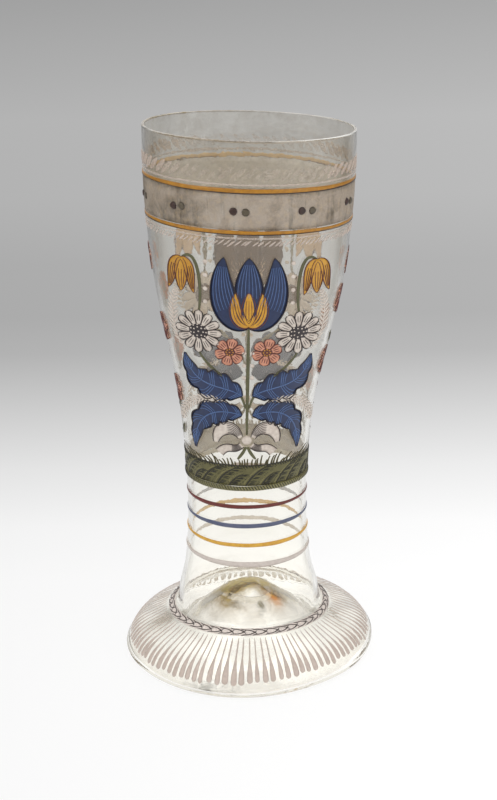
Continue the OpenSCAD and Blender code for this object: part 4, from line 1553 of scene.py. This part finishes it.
@dataclass
class Meadow:
    """Green ground with slanted, hatched hummocks over a rope edge, and grass behind it.

    The painted ground stays under the top of its CAD node by drop, and every third hummock is short.
    """

    drop: float = 2.2
    brow: float = 0.3
    steps: int = 540
    hills: int = 26
    hill_w: float = 12.5
    short: float = 0.62
    hill_steps: int = 18
    dashes: int = 11
    dot_at: tuple = (4.8, -0.5)
    fringe: int = 132
    rope_strokes: int = 130
    blades: int = 36
    grass_lean: float = 6.0
    grass_h: tuple = (2.6, 6.0)
    seed: int = 31

    def build(self) -> None:
        """Paint the ground, its hatching, the grass and the rope."""
        low, high = span("meadow")
        high = high - self.drop
        top = wobbly(high, 0.3, self.seed, self.steps)
        ground = Paint(thick=0.28)
        ground.ring((low + top) / 2, (top - low) / 2, across=9)
        ground.piece("meadow_paint", MEADOW, Slot.GREEN, "meadow")
        brow = Paint(thick=0.14, sink=0.36, base=0.22)
        brow.ring(top - self.brow, np.full(self.steps, self.brow), across=3)
        brow.piece("meadow_brow", DARK_GREEN, Slot.GREEN)
        rope = hand_ring("meadow_rope", thick=0.55, seed=41)
        rope.piece("meadow_rope_paint", ROPE, Slot.GREEN, "meadow_rope")
        self.build_hills(low, high)
        self.build_grass(high)
        self.build_rope_strokes()

    def build_hills(self, low: float, high: float) -> None:
        """Long hummock lines that lean to the right, each with a pale edge and a column of short dashes.

        A line is one cubic curve, scaled for each hummock, and its brush width is a root of a sine.

        Args:
            low: Bottom of the ground.
            high: Top of the ground.
        """
        chance = np.random.default_rng(self.seed)
        ink = Paint(thick=0.18, sink=0.42, base=0.3)
        pale = Paint(thick=0.06, sink=0.3, base=0.26)
        tall = 0.93 * (high - low)
        root = np.array([0, low + 0.03 * tall])
        turns = even_turns(self.hills) + chance.normal(0, 0.025, self.hills)
        size = np.where(np.arange(self.hills) % 3 == 1, self.short, 1.0)
        size = (size * chance.uniform(0.92, 1.0, self.hills))[:, None, None]
        line = bezier((0, 0), (0.2 * self.hill_w, 0.45 * tall), (0.52 * self.hill_w, 0.8 * tall),
                      (self.hill_w, tall), self.hill_steps)
        taper = arch(0.1, 0.95, self.hill_steps, 0.5) * np.linspace(0.6, 0.3, self.hill_steps)
        ink.lay(root + line * size, taper, angles=turns)
        pale.lay(root + line * size + np.array([-1.2, 0.5]), 1.2 * taper, angles=turns)
        dash = bezier((0.8, -0.25), (1.8, 0.15), (2.9, 0.15), (4.0, -0.2), 6)
        swell = 0.27 * arch(0.15, 0.9, 6)
        for spot in line[np.linspace(1, self.hill_steps - 3, self.dashes).astype(int)]:
            unsteady = chance.normal(0, 0.12, (self.hills, 1, 2))
            dot = root + spot * size + 0.12 * dash + unsteady + np.array(self.dot_at)
            ink.lay(root + spot * size + dash + unsteady, swell, angles=turns)
            ink.lay(dot, 0.8 * swell, angles=turns)
        hang = bezier((-0.5, -0.2), (-0.2, -0.8), (0.2, -1.4), (0.6, -1.9), 6)
        longer = chance.uniform(0.7, 1.15, (self.fringe, 1, 1))
        ink.lay(np.array([0, high]) + hang * longer, 1.1 * swell, angles=even_turns(self.fringe))
        ink.piece("meadow_hills", DARK_GREEN, Slot.GREEN)
        pale.piece("meadow_hatching", HUMMOCK, Slot.GREEN)

    def build_grass(self, high: float) -> None:
        """Fans of grass blades behind the ground, leaning outwards from the foot of each bouquet.

        Args:
            high: Top of the ground.
        """
        chance = np.random.default_rng(self.seed + 1)
        across = np.linspace(-0.88, 0.88, self.blades)
        root = np.stack([PROFILE.radius(high) * across, np.full(self.blades, high - 0.7)], axis=1)
        blade = bezier((0, 0), (0.05, 0.35), (0.3, 0.7), (0.8, 1), 9)
        root = root + chance.normal(0, 0.3, (self.blades, 2))
        lean = self.grass_lean * across + chance.normal(0, 0.4, self.blades)
        reach = np.stack([lean, chance.uniform(*self.grass_h, self.blades)], axis=1)
        half = 0.56 * (1 - 0.5 * np.linspace(0, 1, 9))
        grass = Paint(thick=0.2)
        grass.lay(root[:, None] + blade * reach[:, None], half, FRONT_AND_BACK)
        grass.piece("meadow_grass", GRASS, Slot.GREEN)

    def build_rope_strokes(self) -> None:
        """Slanted dark strokes across the rope, which give it its twist."""
        low, high = span("meadow_rope")
        stroke = bezier((-0.8, high - 0.2), (-0.4, high - 0.7), (0.4, low + 0.7), (0.8, low + 0.3), 7)
        twist = Paint(thick=0.3, sink=0.3, base=0.5)
        twist.lay(stroke, 0.3 * arch(0.15, 0.85, 7), angles=even_turns(self.rope_strokes))
        twist.piece("rope_twist", DARK_GREEN, Slot.GREEN)


@dataclass
class WaistRings:
    """The coloured rings round the waist, finer at their two sides by the share ease."""

    ease: float = 0.45

    def build(self) -> None:
        """Paint the rings from the top down, each as a share of its CAD ring's width."""
        for node, finish, slot, wide, seed in (
                ("red_ring", RING_RED, Slot.RED, 1.12, 51),
                ("blue_ring", RING_BLUE, Slot.BLUE, 1.1, 53),
                ("yellow_ring", RING_YELLOW, Slot.YELLOW, 1.12, 55),
                ("white_ring", RING_WHITE, Slot.WHITE, 0.8, 57)):
            hand_ring(node, seed=seed, wide=wide, ease=self.ease).piece(node + "_paint", finish, slot, node)


@dataclass
class FootBorders:
    """Chain at the crease of the foot and the white strokes on its skirt, with bare glass between."""

    chain_gap: float = 0.6
    chain_w: float = 6.0
    wash_w: float = 4.8
    links: int = 44
    link_h: float = 3.2
    link_line: float = 0.56
    stroke_gap: float = 0.8
    clear_border: float = 1.5
    strokes: int = 100
    thin: float = 0.7
    club: float = 2.8
    seed: int = 61

    def build(self) -> None:
        """Paint the pale band, the links with their barbs, and the strokes."""
        middle = -self.chain_gap - self.chain_w / 2
        band = Paint(Skirt(), thick=0.16)
        band.ring(wobbly(middle, 0.15, 63), wobbly(self.wash_w / 2, 0.2, 64))
        band.piece("chain_band_wash", WASH, Slot.ROSE_WHITE, "chain_band")
        self.build_links(middle)
        self.build_strokes(-self.chain_gap - self.chain_w - self.stroke_gap)

    def build_links(self, middle: float) -> None:
        """Pointed links: two lines start apart as barbs, run level, cross at the joint and run on a little.

        A line is drawn through ten listed places, in link widths and half link heights, and its mirror image is
        the other one.

        Args:
            middle: Drawing y of the chain's middle.
        """
        chance = np.random.default_rng(self.seed)
        r = PROFILE.neck[0] - middle * PROFILE.skirt_dir[0]
        w, h = 2 * math.pi * r / self.links, self.link_h / 2
        turns = even_turns(self.links) + chance.normal(0, 0.006, self.links)
        x = np.array([-0.7, -0.57, -0.42, -0.2, 0.0, 0.18, 0.34, 0.47, 0.58, 0.68]) * w
        y = np.array([1.36, 1.06, 0.97, 0.94, 0.85, 0.66, 0.38, 0.08, -0.3, -0.7]) * h
        swell = self.link_line / 2 * np.array([0.4, 0.8, 1.0, 0.95, 0.95, 1.05, 1.2, 1.25, 0.9, 0.5])
        ink = Paint(Skirt(), thick=0.2, base=0.14, sink=0.22)
        jitter = chance.normal(0, 0.1, (self.links, 1, 2))
        for side in (1, -1):
            path = np.stack([x, side * y], axis=1) + np.array([0, middle])
            ink.lay(path + jitter, swell, angles=turns)
        ink.piece("chain_link_lines", INK, Slot.BLACK, "chain_links")

    def build_strokes(self, start: float) -> None:
        """Strokes down the skirt: fine at the top, swelling from half way to a round club.

        The last points are set by a sine, close together, so that the end is a half circle.

        Args:
            start: Drawing y of their thin ends.
        """
        chance = np.random.default_rng(self.seed + 1)
        length = np.linalg.norm(PROFILE.skirt_end - PROFILE.neck) - self.clear_border + start
        tip = self.club / length / 2
        turn = np.linspace(0, 0.49, 5) * math.pi
        u = np.concatenate([np.linspace(0, 1 - tip, 9), 1 - tip + tip * np.sin(turn)[1:]])
        round_end = np.sqrt(np.clip(1 - ((u - 1 + tip) / tip).clip(0, 1) ** 2, 0.02, 1))
        fine = smooth(0, 0.04, u + 0.015)
        half = (self.thin + (self.club - self.thin) * smooth(0.42, 0.92, u)) / 2 * round_end * fine
        longer = chance.normal(1, 0.02, (self.strokes, 1))
        aside = chance.normal(0, 0.12, (self.strokes, 1)) + 0 * u
        path = np.stack([aside, start - u * length * longer], axis=-1)
        turns = even_turns(self.strokes) + chance.normal(0, 0.004, self.strokes)
        paint = Paint(Skirt(), thick=0.16)
        paint.lay(path, half * chance.normal(1, 0.09, (self.strokes, 1)), across=5, angles=turns)
        paint.piece("foot_stroke_paint", GREY_WHITE, Slot.WHITE, "foot_strokes")


@dataclass
class Studio:
    """Pale paper with a soft falling light behind, large soft lamps, and the camera of the photograph.

    Lengths are in metres. Shade and room are shares of the way back or round, with the sRGB levels there.

    Attributes:
        fade: Distance behind the object that counts as half of the way back.
        glow: Share of its own tone in what is seen of the paper, beside the light that falls on it.
        through: Extra light that the glass gathers from the paper near the foot, and from further back.
        through_to: Shares of the way back between which that light fades.
        card_from: Distances between which the cards beside the paper come to count in full.
        card_least: How far they count nearer than that.
    """

    camera_at: tuple = (0.0014, -0.760, 0.391)
    camera_pitch: float = math.radians(18.39)
    camera_roll: float = math.radians(-0.8)
    focal_px: float = 1526.0
    frame_px: float = 800.0
    sensor: float = 36.0
    paper_x: float = 9.0
    paper_y: tuple = (-4.0, 12.0)
    paper_z: float = -0.0002
    fade: float = 0.8
    brighter_right: float = 0.3
    glow: float = 0.82
    through: tuple = (0.26, 0.01)
    through_to: tuple = (0.05, 0.16)
    card_from: tuple = (0.35, 0.8)
    card_least: float = 0.5
    shade: tuple = ((0.0, 255), (0.09, 254), (0.167, 249), (0.25, 233), (0.339, 207), (0.41, 183),
                    (0.46, 176), (0.53, 177), (0.62, 185), (0.72, 187), (0.82, 176), (0.9, 165))
    room: tuple = ((0.0, 255), (0.14, 255), (0.2, 215), (0.27, 215), (0.29, 110), (0.335, 110), (0.36, 215),
                   (0.5, 230), (0.66, 255), (0.78, 225))
    lit_z: float = 0.15

    def build(self) -> None:
        """Set up the paper, the light and the camera."""
        bpy.context.scene.view_settings.view_transform = "Standard"
        self.build_table()
        self.build_world()
        self.build_lamps()
        self.build_camera()

    def build_table(self) -> None:
        """A wide level table covered with one sheet of paper."""
        front, back = self.paper_y
        corners = [(x, y, self.paper_z) for x, y in ((-self.paper_x, front), (self.paper_x, front),
                                                     (self.paper_x, back), (-self.paper_x, back))]
        mesh = bpy.data.meshes.new("table")
        mesh.from_pydata(corners, [], [(0, 1, 2, 3)])
        mesh.materials.append(self.paper())
        table = bpy.data.objects.new("table", mesh)
        bpy.context.scene.collection.objects.link(table)

    def paper(self) -> bpy.types.Material:
        """Matt white paper: no gloss, and a tone that falls off with the distance behind the object.

        The share of the way back is y / (y + fade), which is 1 at the horizon.

        Returns:
            The material.
        """
        made, tree, shader = new_material("matt_white_paper")
        tree.nodes.remove(shader)
        spot = add_node(tree, "TexCoord").outputs["Object"]
        place = add_node(tree, "SeparateXYZ", {0: spot})
        path = add_node(tree, "LightPath")
        back = add_node(tree, "Math", {0: place.outputs["Y"], 1: 0.0}, operation="MAXIMUM")
        total = add_node(tree, "Math", {0: back, 1: self.fade}, operation="ADD")
        share = add_node(tree, "Math", {0: back, 1: total}, operation="DIVIDE")
        aside = add_node(tree, "Math", {0: place.outputs["X"], 1: total}, operation="DIVIDE")
        gain = add_node(tree, "MapRange", {
            "Value": aside, "From Min": -0.5, "From Max": 0.5,
            "To Min": 1 - 0.5 * self.brighter_right, "To Max": 1 + 0.5 * self.brighter_right})
        level = self.ramp(tree, share, self.shade)
        tone = add_node(tree, "VectorMath", {0: level, "Scale": gain}, operation="SCALE")
        # In the glass and in reflections the paper is darker where the cards stand.
        reach = add_node(tree, "VectorMath", {0: spot}, operation="LENGTH")
        far = add_node(tree, "MapRange", {
            "Value": reach, "From Min": self.card_from[0], "From Max": self.card_from[1],
            "To Min": self.card_least})
        indirect = add_node(tree, "Math", {0: 1.0, 1: path.outputs["Is Camera Ray"]}, operation="SUBTRACT")
        amount = add_node(tree, "Math", {0: far, 1: indirect}, operation="MULTIPLY")
        card = add_node(tree, "Mix", {
            "Factor": amount, "A": linear("#ffffff"), "B": self.around(tree, place)},
            data_type="RGBA")
        shown = add_node(tree, "Mix", {
            "Factor": 1.0, "A": tone, "B": card}, data_type="RGBA", blend_type="MULTIPLY")
        # The glass gathers a little more light from the paper round its foot.
        near = add_node(tree, "MapRange", {
            "Value": share, "From Min": self.through_to[0], "From Max": self.through_to[1],
            "To Min": self.through[0], "To Max": self.through[1]})
        behind = add_node(tree, "Math", {
            0: path.outputs["Is Transmission Ray"], 1: near, 2: 1.0}, operation="MULTIPLY_ADD")
        glow = add_node(tree, "Emission", {"Color": shown, "Strength": behind})
        # Whatever looks at the paper sees mostly its own tone. Light that bounces off it is plain diffuse.
        straight = add_node(tree, "Math", {
            0: path.outputs["Is Camera Ray"], 1: path.outputs["Is Transmission Ray"]}, operation="MAXIMUM")
        seen = add_node(tree, "Math", {0: straight, 1: path.outputs["Is Glossy Ray"]}, operation="MAXIMUM")
        part = add_node(tree, "Math", {0: seen, 1: self.glow}, operation="MULTIPLY")
        diffuse = add_node(tree, "BsdfDiffuse", {"Color": tone})
        mix = add_node(tree, "MixShader", {0: part, 1: diffuse, 2: glow})
        wire(tree, tree.nodes["Material Output"], {"Surface": mix})
        return made

    def ramp(self, tree: Tree, share: Source, stops: tuple) -> Source:
        """Grey levels along a share.

        Args:
            tree: Node tree that takes the ramp.
            share: Value from 0 to 1.
            stops: Places along it and their sRGB levels up to 255.

        Returns:
            The colour.
        """
        made = add_node(tree, "ValToRGB", {"Fac": share})
        elements = made.color_ramp.elements
        while len(elements) < len(stops):
            elements.new(0.5)
        for stop, (spot, level) in zip(elements, stops):
            stop.position = spot
            stop.color = linear("#" + 3 * format(level, "02x"))
        return made

    def around(self, tree: Tree, place: bpy.types.Node) -> Source:
        """Tone of the room by the angle from straight behind. A dark card at each side draws the edges.

        Args:
            tree: Node tree that takes the nodes.
            place: Separated place or direction.

        Returns:
            The tone.
        """
        turn = add_node(tree, "Math", {0: place.outputs["X"], 1: place.outputs["Y"]}, operation="ARCTAN2")
        side = add_node(tree, "Math", {0: turn}, operation="ABSOLUTE")
        share = add_node(tree, "Math", {0: side, 1: math.pi}, operation="DIVIDE")
        return self.ramp(tree, share, self.room)

    def build_world(self) -> None:
        """Soft room light: bright overhead, dimmer near the horizon, in the room's tone."""
        world = bpy.data.worlds.new("soft_room")
        bpy.context.scene.world = world
        world.use_nodes = True
        tree = world.node_tree
        toward = add_node(tree, "TexCoord").outputs["Generated"]
        place = add_node(tree, "SeparateXYZ", {0: toward})
        level = add_node(tree, "MapRange", {
            "Value": place.outputs["Z"], "From Min": 0.0, "From Max": 0.7, "To Min": 0.74, "To Max": 0.95})
        wire(tree, tree.nodes["Background"], {"Strength": level, "Color": self.around(tree, place)})

    def build_lamps(self) -> None:
        """Two large soft boxes in front, left and right, and one above."""
        for name, at, size, power in (("left_box", (-1.3, -1.2, 1.1), 1.2, 7.0),
                                      ("right_box", (1.4, -1.1, 0.9), 1.2, 5.0),
                                      ("top_box", (0.0, 0.1, 1.7), 1.4, 6.0)):
            lamp = bpy.data.lights.new(name, "AREA")
            lamp.energy = power
            lamp.size = size
            made = bpy.data.objects.new(name, lamp)
            made.location = at
            aim = np.array([0.0, 0.0, self.lit_z]) - np.array(at)
            flat = math.hypot(aim[0], aim[1])
            made.rotation_euler = (math.atan2(flat, -aim[2]), 0.0, math.atan2(aim[1], aim[0]) - math.pi / 2)
            bpy.context.scene.collection.objects.link(made)

    def build_camera(self) -> None:
        """The photograph's view: slightly rolled, looking down at the pitch that the rings' ellipses give."""
        lens = bpy.data.cameras.new("view")
        lens.sensor_width = self.sensor
        lens.lens = self.focal_px * self.sensor / self.frame_px
        lens.clip_start = 0.01
        made = bpy.data.objects.new("view", lens)
        made.location = self.camera_at
        tilt = Matrix.Rotation(math.pi / 2 - self.camera_pitch, 3, "X")
        made.rotation_euler = (tilt @ Matrix.Rotation(self.camera_roll, 3, "Z")).to_euler()
        bpy.context.scene.collection.objects.link(made)
        bpy.context.scene.camera = made


def main() -> None:
    """Set up the studio, then build the beaker's parts in order."""
    logging.basicConfig(level=logging.INFO, format="%(name)s %(message)s")
    Studio().build()
    vessel = Vessel()
    vessel.build()
    vessel.build_scar()
    RimBorders().build()
    Bouquet().build()
    Meadow().build()
    WaistRings().build()
    FootBorders().build()


if __name__ == "__main__":
    main()
